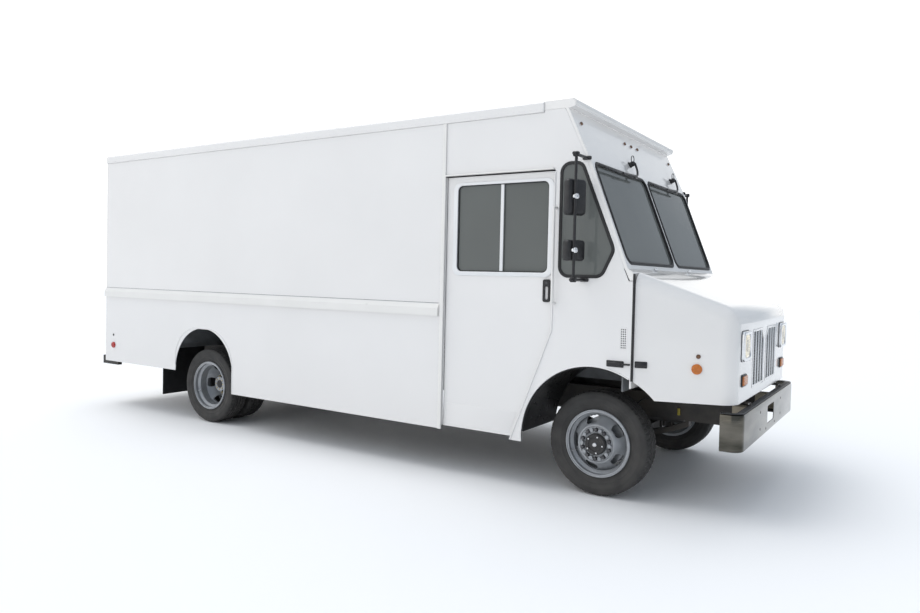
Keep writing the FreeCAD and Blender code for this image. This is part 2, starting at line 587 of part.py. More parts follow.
def exhaust():
    """A pipe and silencer inside the right rail, turning out ahead of the rear wheel."""
    pieces = [
        rod("pipe_front_run", "X", "pipe_radius", ("pipe_exit_x", "pipe_front"), ("pipe_y", "pipe_z")),
        rod("silencer", "X", "muffler_radius", ("muffler_rear", "muffler_front"), ("pipe_y", "pipe_z")),
        rod("pipe_drop", "Z", "pipe_radius", ("pipe_exit_z", "pipe_z"), ("pipe_exit_x", "pipe_y")),
        rod("pipe_out", "Y", "pipe_radius", ("pipe_exit_y", "pipe_y"), ("pipe_exit_x", "pipe_exit_z")),
        ball("pipe_elbow", "pipe_radius", ("pipe_exit_x", "pipe_y", "pipe_z")),
        ball("pipe_knee", "pipe_radius", ("pipe_exit_x", "pipe_y", "pipe_exit_z")),
    ]
    keep(fuse("exhaust_solid", *pieces), "exhaust")


def ball(name, radius, centre):
    """A ball that rounds the joint of two pipes."""
    item = doc.addObject("Part::Sphere", name)
    bind(item, "Radius", radius)
    for letter, spot in zip("xyz", centre):
        bind(item, f"Placement.Base.{letter}", spot)
    return item


# Steering

def knuckles():
    """Steering knuckles: a yoke on the kingpin, a spindle outboard and an arm to the rear."""
    for word, side in SIDES.items():
        y = f"{side} * kingpin_y"
        low = "axle_z - boss_half - yoke_thick - yoke_play"
        high = "axle_z + boss_half + yoke_play"
        xs = ("front_axle_x - yoke_half", "front_axle_x + yoke_half")
        web_in = "kingpin_y + boss_radius + web_play"
        web_out = f"{web_in} + web_thick"
        jaw_y = flip(side, "kingpin_y - yoke_half + yoke_inset", f"{web_in} + web_lap")
        arm_zs = ("arm_z - arm_thick / 2", "arm_z + arm_thick / 2")
        pieces = [
            box(f"yoke_low_{word}", xs, jaw_y, (low, f"{low} + yoke_thick")),
            box(f"yoke_high_{word}", xs, jaw_y, (high, f"{high} + yoke_thick")),
            box(f"yoke_web_{word}", xs, flip(side, web_in, web_out), (low, f"{high} + yoke_thick")),
            rod(f"spindle_{word}", "Y", "spindle", flip(side, web_out, "spindle_end"),
                ("front_axle_x", "axle_z")),
            box(f"arm_drop_{word}", xs, flip(side, "kingpin_y - arm_thick", web_out), (arm_zs[0], low)),
            box(f"steer_arm_{word}", ("front_axle_x - arm_length", "front_axle_x + yoke_half"),
                flip(side, "kingpin_y - arm_thick", "kingpin_y + web_thick"), arm_zs),
            rod(f"arm_eye_{word}", "Z", "arm_thick + eye_wall", arm_zs, ("front_axle_x - arm_length", y)),
        ]
        solid = fuse(f"knuckle_solid_{word}", *pieces)
        bore = rod(f"kingpin_bore_{word}", "Z", "kingpin + running_fit",
                   ("axle_z - kingpin_half - over", "axle_z + kingpin_half + over"), ("front_axle_x", y))
        arm_play = "0" if side > 0 else "tie_gap"
        eye = rod(f"arm_bore_{word}", "Z", f"tie_pin + running_fit + {arm_play}",
                  ("arm_z - arm_thick", "arm_z + arm_thick"), ("front_axle_x - arm_length", y))
        keep(cut(f"knuckle_bored_{word}", solid, bore, eye), f"knuckle_{word}")


def tie_rod():
    """The rod that joins the two steering arms, with an upright pin at each end."""
    x = "front_axle_x - arm_length"
    pieces = [rod("tie_bar", "Y", "tie_radius", ("-kingpin_y", "kingpin_y"), (x, "tie_z"))]
    for word, side in SIDES.items():
        pieces.append(rod(f"tie_pin_{word}", "Z", "tie_pin", ("tie_z", "arm_z + arm_thick / 2 + tie_stub"),
                          (x, f"{side} * kingpin_y")))
        pieces.append(rod(f"tie_end_{word}", "Z", "tie_end", ("tie_z - tie_cap", "tie_z + tie_cap"),
                          (x, f"{side} * kingpin_y")))
    keep(fuse("tie_solid", *pieces), "tie_rod")


# Body shell

def floor():
    """The floor with its stepwells and wheel boxes."""
    plate_points = [
        ("body_rear + frame_thick", "body_half - skin"), ("pocket_rear", "body_half - skin"),
        ("pocket_rear", "floor_half"), ("floor_front", "floor_half"),
        ("floor_front", "-floor_half"), ("pocket_rear", "-floor_half"),
        ("pocket_rear", "-(body_half - skin)"), ("body_rear + frame_thick", "-(body_half - skin)"),
    ]
    plate = prism("floor_plate", "XY", plate_points, ("floor_low", "floor_high"))
    through = ("floor_low - over", "floor_high + over")
    tools = [box("engine_hole", ("gearbox_front - engine_room", "floor_front + over"),
                 ("-engine_half - hole_play", "engine_half + hole_play"), through)]
    added = [cargo_pan()]
    for word, side in SIDES.items():
        tools.append(box(f"well_hole_{word}", ("well_rear", "well_front"),
                         flip(side, "well_in", "floor_half + over"), through))
        tools.append(box(f"house_hole_{word}", ("house_rear", "house_front"),
                         flip(side, "house_in", "body_half + over"), through))
        tools.append(box(f"arch_room_{word}", ("front_house_rear", "floor_front + over"),
                         flip(side, "front_house_in", "floor_half + over"), through))
        added.append(stepwell(word, side))
        added.append(rear_house(word, side))
        added.append(front_house(word, side))
    for number, x in enumerate(SILLS):
        added.append(box(f"sill_{number}", (f"{x} - sill_half", f"{x} + sill_half"),
                         ("-sill_reach", "sill_reach"), ("rail_high", "floor_low")))
    pierced = cut("floor_pierced", plate, *tools)
    pedestal = box("seat_pedestal", ("seat_x - pedestal_half", "seat_x + pedestal_half"),
                   ("well_in - 2 * pedestal_half", "well_in"), ("floor_high", "seat_low - rail_play"))
    keep(fuse("floor_solid", pierced, pedestal, *added), "floor")


def cargo_pan():
    """The raised cargo floor, between the wheel boxes and from the rear frame to the door posts."""
    zs = ("floor_high", "floor_high + pan_thick")
    pan = box("pan_sheet", ("body_rear + frame_thick", "pan_front"), ("-floor_half", "floor_half"), zs)
    rooms = [box(f"pan_room_{word}", ("house_rear", "house_front"), flip(side, "house_in", "body_half"), zs)
             for word, side in SIDES.items()]
    return cut("cargo_pan", pan, *rooms)


def stepwell(word, side):
    """A stepwell sunk in the floor, open upwards and towards its door."""
    shell = box(f"well_shell_{word}", ("well_rear", "well_front"), flip(side, "well_in", "floor_half"),
                ("well_low", "floor_high"))
    hollow = box(f"well_hollow_{word}", ("well_rear + well_thick", "well_front - well_thick"),
                 flip(side, "well_in + well_thick", "floor_half + over"),
                 ("well_low + well_thick", "floor_high + over"))
    return cut(f"well_{word}", shell, hollow)


def rear_house(word, side):
    """The box over a pair of rear wheels."""
    shell = box(f"house_shell_{word}", ("house_rear", "house_front"),
                flip(side, "house_in", "body_half - skin"), ("floor_low", "house_top"))
    room = box(f"house_room_{word}", ("house_rear + house_wall", "house_front - house_wall"),
               flip(side, "house_in + house_wall", "body_half"),
               ("floor_low - over", "house_top - house_wall"))
    return cut(f"house_{word}", shell, room)


def front_house(word, side):
    """The box over a front wheel, under the dash."""
    shell = box(f"front_house_{word}", ("front_house_rear", "front_house_front"),
                flip(side, "front_house_in", "front_house_out"), ("floor_low", "house_top"))
    room = box(f"front_room_{word}", ("front_house_rear + house_wall", "front_house_front - house_wall"),
               flip(side, "front_house_in + house_wall", "front_house_out + over"),
               ("floor_low - over", "house_top - house_wall"))
    return cut(f"front_box_{word}", shell, room)


def side_panels():
    """The flat side skins, from the rear frame to the door post, over the rear wheel arches."""
    step_x = "arch_rear_high"
    points = [
        ("body_rear", "skirt_rear"), ("arch_rear_low", "skirt_rear"), ("arch_rear_low", "arch_top_z"),
        (step_x, "arch_top_z"), (step_x, "skirt_mid"), ("post_x", "skirt_mid"),
        ("post_x", "panel_top"), ("body_rear", "panel_top"),
    ]
    made = []
    for word, side in SIDES.items():
        span = flip(side, "body_half - skin", "body_half")
        made.append(prism(f"side_{word}", "XZ", points, span, corners=(2, 3), radius="arch_round"))
    keep(group("side_group", *made), "side_panels")


def screen_x(z, shift="0"):
    """The x of the raked screen plane at a height."""
    return f"screen_top_x + (screen_top_z - ({z})) * {RAKE} + ({shift})"


def lean(slope):
    """The turn about Y that stands a piece off a surface leaning back by a slope."""
    return f"90 - atan({slope}) / 1 deg"


def nose_y(x, inset="0"):
    """The half width of the tapering hood at an x."""
    return f"hood_rear_half - ({x} - hood_seam) * {TAPER} - ({inset})"


def cowl_sides():
    """The cab's side skins, around the door, the front wheel and the quarter window."""
    door_edge = "door_front + door_gap"
    lip = "cowl_z - cowl_lip - cap_play"
    back = "- cap_thick - cap_play"
    points = [
        ("post_x", "drip_high"), (door_edge, "drip_high"), (door_edge, "door_knee_z"),
        ("door_toe_x + door_gap", "side_low"), ("hood_seam - 2 * cap_play", "side_low"),
        ("hood_seam - 2 * cap_play", lip), ("cowl_x - cap_thick - 2 * cap_play", lip),
        (screen_x("plane_foot", back), "plane_foot"), (f"screen_top_x {back}", "screen_top_z"),
        (f"header_x {back}", "visor_z"), ("roof_front", "visor_z"), ("roof_front", "panel_top"),
        ("post_x", "panel_top"),
    ]
    made = []
    for word, side in SIDES.items():
        span = flip(side, "body_half - skin", "body_half")
        face = prism(f"cowl_face_{word}", "XZ", points, span)
        arch = rod(f"cowl_arch_{word}", "Y", "arch_front_radius", span, ("arch_front_x", "arch_front_z"))
        foot = box(f"cowl_foot_{word}", ("arch_front_x", "hood_seam"), span,
                   ("side_low - over", "nose_low"))
        window = quarter_prism(f"cowl_window_{word}", span, "0")
        made.append(cut(f"cowl_{word}", face, arch, foot, window))
    keep(group("cowl_group", *made), "cowl_sides")


def quarter_prism(name, span, inset):
    """The quarter window's rounded outline, drawn in by inset, over a span across the van."""
    points = [
        (f"quarter_rear + {inset}", f"quarter_low + {inset}"),
        (f"quarter_toe_x - {inset} * toe_draw", f"quarter_low + {inset}"),
        (f"quarter_front - {inset} * knee_draw", "quarter_knee_z"),
        (f"quarter_top_x - {inset} * top_draw", f"quarter_high - {inset}"),
        (f"quarter_rear + {inset}", f"quarter_high - {inset}"),
    ]
    return prism(name, "XZ", points, span, radius=f"quarter_round - {inset}")


def screen_prism(name, side, inset):
    """One windscreen's rounded outline, drawn in by inset, running forward through the nose."""
    near, far = f"{side} * (screen_in + {inset})", f"{side} * (screen_out - {inset})"
    low, high = f"screen_low_z + {inset}", f"screen_top_z - {inset}"
    points = [(near, low), (far, low), (far, high), (near, high)]
    return prism(name, "YZ", points, ("visor_x", "hood_front"), radius=f"screen_round - {inset}")


def raked_slab(name, back, front):
    """A slab that lies along the windscreen plane, between two distances ahead of it."""
    low, high = "plane_foot", "wiper_z"
    points = [
        (screen_x(low, back), low), (screen_x(low, front), low),
        (screen_x(high, front), high), (screen_x(high, back), high),
    ]
    return prism(name, "XZ", points, ("-body_half", "body_half"))


def front_cap():
    """The moulded nose cap: visor, header, windscreen surround, cowl lip and firewall."""
    profile = [
        ("roof_front", "roof_edge"), ("visor_x", "roof_edge"), ("visor_nose", "roof_edge - visor_drop"),
        ("visor_nose", "visor_z + visor_lift"), ("header_x", "visor_z"), ("screen_top_x", "screen_top_z"),
        (screen_x("plane_foot"), "plane_foot"), ("cowl_x", "cowl_z"), ("cowl_x", "cowl_z - cowl_lip"),
        ("cowl_x - cap_thick", "cowl_z - cowl_lip"), (screen_x("plane_foot", "-cap_thick"), "plane_foot"),
        ("screen_top_x - cap_thick", "screen_top_z"), ("header_x - cap_thick", "visor_z"),
        ("visor_x - cap_thick", "roof_edge - roof_thick"), ("roof_front", "roof_edge - roof_thick"),
    ]
    pieces = [prism("cap_profile", "XZ", profile, ("-body_half", "body_half"))]
    cheek = [
        ("roof_front", "visor_z"), ("header_x - cap_thick / 2", "visor_z"),
        ("visor_x", "roof_edge - roof_thick / 2"), ("roof_front", "roof_edge - roof_thick / 2"),
    ]
    for word, side in SIDES.items():
        pieces.append(prism(f"cap_cheek_{word}", "XZ", cheek, flip(side, "body_half - skin", "body_half")))
    wall_half = "body_half - skin - cap_play"
    wall = box("firewall", ("cowl_x - firewall_thick", "cowl_x"), (f"-({wall_half})", wall_half),
               ("firewall_low", "cowl_z - cowl_lip / 2"))
    pieces.append(wall)
    tools = [screen_prism(f"cap_opening_{word}", side, "0") for word, side in SIDES.items()]
    tools.append(box("firewall_hole", ("screen_top_x", "hood_seam"),
                     ("-engine_half - hole_play", "engine_half + hole_play"),
                     ("firewall_low - over", "engine_high + engine_room")))
    keep(cut("cap_pierced", fuse("cap_solid", *pieces), *tools), "front_cap")


def cab_glass():
    """Two windscreen panes and two quarter panes."""
    made = []
    for word, side in SIDES.items():
        slab = raked_slab(f"screen_slab_{word}", "-glass_deep", "-glass_sink")
        made.append(common(f"screen_{word}", slab, screen_prism(f"screen_edge_{word}", side, "gasket")))
        span = flip(side, "body_half - pane_deep", "body_half - pane_sink")
        made.append(quarter_prism(f"quarter_{word}", span, "gasket"))
    keep(group("glass_group", *made), "cab_glass")


def window_gaskets():
    """The rubber frames that hold the cab's four panes."""
    made = []
    for word, side in SIDES.items():
        slab = raked_slab(f"seal_slab_{word}", "-cap_thick", "gasket_proud")
        outer = common(f"seal_outer_{word}", slab, screen_prism(f"seal_edge_{word}", side, "0"))
        made.append(cut(f"seal_{word}", outer, screen_prism(f"seal_hole_{word}", side, "gasket")))
        span = flip(side, "body_half - gasket_deep", "body_half + gasket_proud")
        ring = quarter_prism(f"side_seal_edge_{word}", span, "0")
        made.append(cut(f"side_seal_{word}", ring, quarter_prism(f"side_seal_hole_{word}", span, "gasket")))
    keep(group("gasket_group", *made), "window_gaskets")


def roof():
    """The cargo roof with a rolled rail along each edge."""
    points = [
        ("-(body_half + rail_proud)", "panel_top"), ("-(body_half - rail_depth)", "panel_top"),
        ("-(body_half - rail_depth)", "roof_edge - roof_thick"),
        ("body_half - rail_depth", "roof_edge - roof_thick"),
        ("body_half - rail_depth", "panel_top"), ("body_half + rail_proud", "panel_top"),
        ("body_half + rail_proud", "roof_edge - roof_round"), ("body_half", "roof_edge"),
        ("0", "roof_top"), ("-body_half", "roof_edge"),
        ("-(body_half + rail_proud)", "roof_edge - roof_round"),
    ]
    panel = prism("roof_panel", "YZ", points, ("body_rear", "roof_front"))
    keep(panel, "roof")


def body_mouldings():
    """Belt rub rails, door posts, drip rails and grab rails on both sides."""
    made = []
    for word, side in SIDES.items():
        near, far = f"{side} * body_half", f"{side} * (body_half + belt_proud)"
        belt = [(near, "belt_low"), (far, "belt_low"), (far, "belt_lip"), (near, "belt_high")]
        made.append(prism(f"belt_{word}", "YZ", belt, ("body_rear", "post_x - 2 * post_half")))
        made.append(box(f"post_{word}", ("post_x - post_half", "post_x + post_half"),
                        flip(side, "body_half", "body_half + rail_proud"), ("skirt_mid", "panel_top")))
        made.append(box(f"drip_{word}", ("post_x + post_half", "door_front"),
                        flip(side, "body_half", "body_half + drip_proud"),
                        ("drip_high", "drip_high + drip_tall")))
        made.append(grab_rail(word, side))
    keep(group("moulding_group", *made), "body_mouldings")


def grab_rail(word, side):
    """A tube that stands off the cab's side beside the door."""
    x = "grab_x"
    y = f"{side} * grab_y"
    pieces = [rod(f"grab_tube_{word}", "Z", "grab_tube", ("grab_low", "grab_high"), (x, y))]
    for end in ("low", "high"):
        pieces.append(rod(f"grab_foot_{end}_{word}", "Y", "grab_tube", flip(side, "body_half", "grab_y"),
                          (x, f"grab_{end}")))
        pieces.append(ball(f"grab_bend_{end}_{word}", "grab_tube", (x, y, f"grab_{end}")))
    return fuse(f"grab_{word}", *pieces)


def hinge_heights():
    """The heights of each rear door's three hinges."""
    return ("rear_sill + hinge_inset", "(rear_sill + rear_head) / 2", "rear_head - hinge_inset")


def rear_frame():
    """The rear frame around the doorway, with the pins that the doors hang on."""
    outer = box("rear_outer", ("body_rear", "body_rear + frame_thick"),
                ("-(body_half - skin)", "body_half - skin"), ("step_high + skin", "panel_top"))
    opening = box("rear_opening", ("body_rear - over", "body_rear + frame_thick + over"),
                  ("-rear_open", "rear_open"), ("rear_sill", "rear_head"))
    pins = []
    for word, side in SIDES.items():
        for number, z in enumerate(hinge_heights()):
            top = f"{z} + hinge_pad + over"
            foot = f"{z} - hinge_pad - over"
            pins.append(rod(f"frame_pin_{word}_{number}", "Z", "hinge_pin_radius", (foot, top),
                            ("hinge_x", f"{side} * hinge_y")))
            for end, span in (("top", (top, f"{top} + skin")), ("foot", (f"{foot} - skin", foot))):
                pins.append(box(f"frame_lug_{end}_{word}_{number}",
                                ("hinge_x - hinge_radius", "body_rear"),
                                flip(side, "hinge_y - hinge_pin_radius", "hinge_y + 2 * skin"), span))
    crown = box("rear_crown", ("body_rear", "body_rear + frame_thick"),
                ("-(body_half - rail_depth)", "body_half - rail_depth"),
                ("panel_top", "roof_edge - roof_thick"))
    keep(fuse("rear_frame_solid", cut("rear_frame_cut", outer, opening), crown, *pins), "rear_frame")


def rear_doors():
    """Two swing doors that close over the rear frame, and the lever on the right one."""
    back = "body_rear - leaf_gap / 2"
    face = f"({back} - leaf_door)"
    for word, side in SIDES.items():
        pieces = [box(f"rear_leaf_{word}", (face, back), flip(side, "leaf_gap / 2", "leaf_edge"),
                      ("rear_sill - 2 * skin", "rear_head + 2 * skin"))]
        tools = []
        for number, z in enumerate(hinge_heights()):
            span = (f"{z} - hinge_pad", f"{z} + hinge_pad")
            centre = ("hinge_x", f"{side} * hinge_y")
            pieces.append(rod(f"hinge_{word}_{number}", "Z", "hinge_radius", span, centre))
            pieces.append(box(f"hinge_strap_{word}_{number}", ("hinge_x", face),
                              flip(side, "strap_in", "hinge_y"), span))
            tools.append(rod(f"hinge_bore_{word}_{number}", "Z", "hinge_pin_radius + running_fit", span,
                             centre))
        if side < 0:
            tools.append(rod("lever_bore", "X", "lever_pin + running_fit",
                             (f"{face} - over", f"{back} + over"), ("-lever_y", "lever_z")))
        solid = fuse(f"rear_door_solid_{word}", *pieces)
        keep(cut(f"rear_door_bored_{word}", solid, *tools), f"rear_door_{word}")
    outside = f"({face} - lever_stand)"
    spindle = rod("lever_spindle", "X", "lever_pin", (outside, f"{back} - leaf_gap"),
                  ("-lever_y", "lever_z"))
    grip = box("lever_grip", (outside, f"{outside} + lever_half"),
               ("-lever_y - lever_half", "-lever_y + lever_half"),
               ("lever_z - lever_length", "lever_z + lever_half"))
    keep(fuse("lever_solid", spindle, grip), "rear_door_handle")


def cab_doors():
    """Sliding cab doors: leaf, fixed pane, sliding pane and hinged latch handle."""
    for word, side in SIDES.items():
        leaf_y = flip(side, "door_in", "door_out")
        points = [
            ("door_rear", "door_low"), ("door_toe_x", "door_low"), ("door_front", "door_knee_z"),
            ("door_front", "door_high"), ("door_rear", "door_high"),
        ]
        leaf = prism(f"door_leaf_{word}", "XZ", points, leaf_y)
        hole = pane_prism(f"door_hole_{word}", leaf_y, "pane_rear", "pane_front")
        pivot = ("(handle_rear + handle_front) / 2", "handle_high - handle_pivot")
        pin_hole = rod(f"handle_hole_{word}", "Y", "handle_pin + running_fit",
                       flip(side, "door_in + handle_sink", "door_out + over"), pivot)
        keep(cut(f"door_{word}", leaf, hole, pin_hole), f"cab_door_{word}")
        fixed_y = flip(side, "pane_edge", "pane_edge + pane_thick")
        keep(pane_prism(f"fixed_pane_{word}", fixed_y, "pane_rear", "pane_mid + pane_lap"),
             f"door_glass_{word}")
        slide_y = flip(side, "slide_edge", "slide_edge + pane_thick")
        keep(pane_prism(f"slide_pane_{word}", slide_y, "pane_mid - pane_lap", "pane_front - pane_play",
                        "pane_play"), f"sliding_pane_{word}")
        grip_in = "door_out + handle_gap"
        grip = box(f"handle_grip_{word}", ("handle_rear", "handle_front"),
                   flip(side, grip_in, f"{grip_in} + handle_depth"), ("handle_low", "handle_high"))
        pin = rod(f"handle_spindle_{word}", "Y", "handle_pin",
                  flip(side, "door_in + handle_sink + handle_gap", grip_in), pivot)
        keep(fuse(f"handle_{word}", grip, pin), f"door_handle_{word}")


def pane_prism(name, span, rear, front, inset="0"):
    """A rounded pane in the door's window."""
    points = [(rear, f"pane_low + {inset}"), (front, f"pane_low + {inset}"),
              (front, f"pane_high - {inset}"), (rear, f"pane_high - {inset}")]
    return prism(name, "XZ", points, span, radius="pane_round")


# Front end

def hood():
    """The one-piece tilting hood: a tapered shell, open at the back and underneath."""
    solid = hood_block("hood_outer", "0", "0")
    hollow = hood_block("hood_inner", "hood_skin", "hood_past")
    grille_hole = box("grille_hole", ("hood_front - grille_reach", "hood_front + over"),
                      ("-grille_out", "grille_out"), ("grille_low", "grille_high"))
    arch = rod("hood_arch", "Y", "arch_front_radius", ("-body_half", "body_half"),
               ("arch_front_x", "arch_front_z"))
    shell = cut("hood_shell", solid, hollow, grille_hole, arch)
    ears = []
    for word, side in SIDES.items():
        span = flip(side, "ear_in", "ear_in + ear_thick")
        heel = "hood_front - ear_heel"
        tab = box(f"hood_tab_{word}", (heel, "hood_front - hood_skin / 2"), span,
                  ("hood_hinge_z - ear_half", "hood_side_low + tab_tall"))
        toe = box(f"hood_toe_{word}", (heel, "hood_hinge_x + ear_half"), span,
                  ("hood_hinge_z - ear_half", "hood_hinge_z + ear_half"))
        ears.append(fuse(f"hood_ear_{word}", tab, toe))
    bore = rod("hood_bore", "Y", "hinge_pin + running_fit", ("-body_half", "body_half"),
               ("hood_hinge_x", "hood_hinge_z"))
    keep(cut("hood_bored", fuse("hood_solid", shell, *ears), bore), "hood")


def hood_block(name, inset, past):
    """The hood's outer form, drawn in by inset and run past its open sides."""
    rear = f"hood_seam + hood_gap - ({past})"
    front = f"hood_front - ({inset})"
    side_points = [
        (rear, f"hood_side_low - ({past})"), (front, f"hood_side_low - ({past})"),
        (front, f"hood_top_front - ({inset})"),
        (rear, f"hood_top_rear - ({inset}) + ({past}) * (hood_top_rear - hood_top_front)"
               " / (hood_front - hood_seam)"),
    ]
    radius = f"hood_nose_round - ({inset}) / 2"
    side_view = prism(f"{name}_side", "XZ", side_points, ("-body_half", "body_half"), corners=(2,),
                      radius=radius)
    plan_points = [
        (rear, f"{nose_y(rear, inset)}"), (rear, f"-({nose_y(rear, inset)})"),
        (front, f"-({nose_y(front, inset)})"), (front, f"{nose_y(front, inset)}"),
    ]
    plan_view = prism(f"{name}_plan", "XY", plan_points, ("skirt_mid", "roof_top"), corners=(2, 3),
                      radius=f"hood_round - ({inset}) / 2")
    return common(name, side_view, plan_view)


def grille():
    """Two grille halves of upright slots, a little inside the hood's opening."""
    made = []
    for word, side in SIDES.items():
        plate = box(f"grille_plate_{word}", ("hood_front - grille_thick", "hood_front"),
                    flip(side, "grille_in", "grille_out - over"),
                    ("grille_low + over", "grille_high - over"))
        tools = []
        for number in range(4):
            near = f"grille_in + slot_edge + {number} * slot_pitch"
            tools.append(box(f"slot_{word}_{number}",
                             ("hood_front - grille_thick - over", "hood_front + over"),
                             flip(side, near, f"{near} + slot_width"),
                             ("grille_low + slot_edge", "grille_high - slot_edge")))
        made.append(cut(f"grille_{word}", plate, *tools))
    bridge = box("grille_bridge", ("hood_front - grille_thick", "hood_front"),
                 ("-grille_in", "grille_in"), ("grille_low + over", "grille_high - over"))
    keep(group("grille_group", bridge, *made), "grille")


def front_lamps():
    """Headlamps and turn signals on the hood's face."""
    made = []
    for word, side in SIDES.items():
        for kind, proud in (("lamp", "lamp_proud"), ("turn", "turn_proud")):
            centre = f"{kind}_y"
            made.append(box(f"{kind}_block_{word}", ("hood_front", f"hood_front + {proud}"),
                            flip(side, f"{centre} - {kind}_half", f"{centre} + {kind}_half"),
                            (f"{kind}_z - {kind}_tall", f"{kind}_z + {kind}_tall")))
    keep(group("front_lamp_group", *made), "front_lamps")


def front_bumper():
    """A pressed channel bumper with wrapped ends, tow openings and frame brackets."""
    points = [
        ("bumper_rear", "-bumper_half"), ("bumper_front", "-bumper_half"),
        ("bumper_front", "bumper_half"), ("bumper_rear", "bumper_half"),
    ]
    past, front = "bumper_rear - bumper_run", "bumper_front - bumper_skin"
    near, far = "-(bumper_half - bumper_skin)", "bumper_half - bumper_skin"
    inner_points = [(past, near), (front, near), (front, far), (past, far)]
    outer = prism("bumper_outer", "XY", points, ("bumper_low", "bumper_high"), corners=(1, 2),
                  radius="bumper_round")
    inner = prism("bumper_inner", "XY", inner_points, ("bumper_low - over", "bumper_high - bumper_skin"),
                  corners=(1, 2), radius="bumper_round - bumper_skin")
    lip_gap = box("lip_gap", (past, "bumper_front - lip_width"), (near, far),
                  ("bumper_high - 2 * bumper_skin", "bumper_high + over"))
    tows = []
    brackets = []
    for word, side in SIDES.items():
        tows.append(box(f"tow_{word}", ("bumper_rear", "bumper_front + over"),
                        flip(side, "tow_y - tow_half", "tow_y + tow_half"), ("tow_low", "tow_high")))
        brackets.append(box(f"bumper_bracket_{word}", ("rail_front", front),
                            flip(side, "rail_y - bracket_half", "rail_y + bracket_half"),
                            ("rail_low", "bracket_high")))
        lug_in = "ear_in + ear_thick + ear_gap"
        brackets.append(box(f"hinge_lug_{word}", ("hood_hinge_x - ear_half", "hood_hinge_x + ear_half"),
                            flip(side, lug_in, f"{lug_in} + lug_thick"),
                            ("bumper_high - bumper_skin", "hood_hinge_z + ear_half")))
        brackets.append(rod(f"hinge_pin_{word}", "Y", "hinge_pin",
                            flip(side, "ear_in - over", f"{lug_in} + lug_thick"),
                            ("hood_hinge_x", "hood_hinge_z")))
    skin = cut("bumper_skin_cut", outer, inner, lip_gap, *tows)
    keep(fuse("front_bumper_solid", skin, *brackets), "front_bumper")


def rear_bumper():
    """A channel step bumper with side returns and two brackets."""
    outer = box("step_outer", ("step_rear", "step_front"), ("-step_half", "step_half"),
                ("step_low", "step_high"))
    middle = box("step_middle", ("step_rear + step_deep", "step_front + over"),
                 ("-(step_half - return_wide)", "step_half - return_wide"),
                 ("step_low - over", "step_high + over"))
    channel = box("step_channel", ("step_rear + step_plate", "step_rear + step_deep + over"),
                  ("-(step_half - step_plate)", "step_half - step_plate"),
                  ("step_low - over", "step_high - step_plate"))
    brackets = []
    for word, side in SIDES.items():
        span = flip(side, "rail_y - knee_half", "rail_y + knee_half")
        brackets.append(box(f"step_bracket_{word}", ("step_rear + step_plate", "rail_rear"), span,
                            ("step_low + knee_lift", "step_high - step_plate")))
        brackets.append(box(f"step_knee_{word}", ("rail_rear - knee_half", "rail_rear"), span,
                            ("step_low + knee_lift", "knee_high")))
    keep(fuse("rear_bumper_solid", cut("step_cut", outer, middle, channel), *brackets), "rear_bumper")


def mud_flaps():
    """Flaps that hang behind the rear wheels."""
    made = []
    for word, side in SIDES.items():
        made.append(box(f"flap_{word}", ("flap_x - flap_thick", "flap_x"),
                        flip(side, "flap_in", "flap_out"), ("flap_low", "flap_high")))
    keep(group("flap_group", *made), "mud_flaps")


def body_lamps():
    """Clearance lamps, side markers, rear markers and tail lamps."""
    made = []
    half = "roof_lamp_half"
    x = f"header_x + (visor_z - roof_lamp_z) * {HEADER}"
    places = ("-roof_lamp_out", "-roof_lamp_in", "0", "roof_lamp_in", "roof_lamp_out")
    for number, y in enumerate(places):
        lamp = box(f"roof_lamp_{number}", (f"-{half} / 2", f"{half} / 2"), (f"-{half}", half),
                   ("0", "tail_proud"))
        holder = group(f"roof_lamp_holder_{number}", lamp)
        made.append(put(holder, (x, y, "roof_lamp_z"), "Y", lean(HEADER)))
    for word, side in SIDES.items():
        made.append(rod(f"rear_marker_{word}", "Y", "marker_radius",
                        flip(side, "body_half", "body_half + marker_proud"), ("tail_x", "tail_z")))
        made.append(box(f"tail_lamp_{word}", ("body_rear - tail_proud", "body_rear"),
                        flip(side, "tail_y - tail_lamp_half", "tail_y + tail_lamp_half"),
                        ("tail_high - tail_lamp_half", "tail_high + tail_lamp_half")))
    keep(group("lamp_group", *made), "body_lamps")


# Mirrors and wipers

def mirror_arms():
    """Upright mirror tubes held off each side by two arms."""
    made = []
    for word, side in SIDES.items():
        pieces = [rod(f"mirror_tube_{word}", "Z", "mirror_tube", ("mirror_low", "mirror_high"),
                      ("mirror_x", f"{side} * mirror_y"))]
        for end in ("low", "high"):
            pieces.append(rod(f"mirror_arm_{end}_{word}", "Y", "mirror_tube",
                              flip(side, "body_half", "mirror_end"), ("mirror_x", f"mirror_{end}")))
            pieces.append(box(f"mirror_foot_{end}_{word}",
                              ("mirror_x - mirror_base", "mirror_x + mirror_base"),
                              flip(side, "body_half", "body_half + mirror_foot"),
                              (f"mirror_{end} - mirror_base / 2", f"mirror_{end} + mirror_base / 2")))
        made.append(fuse(f"mirror_arm_{word}", *pieces))
    keep(group("mirror_group", *made), "mirror_arms")


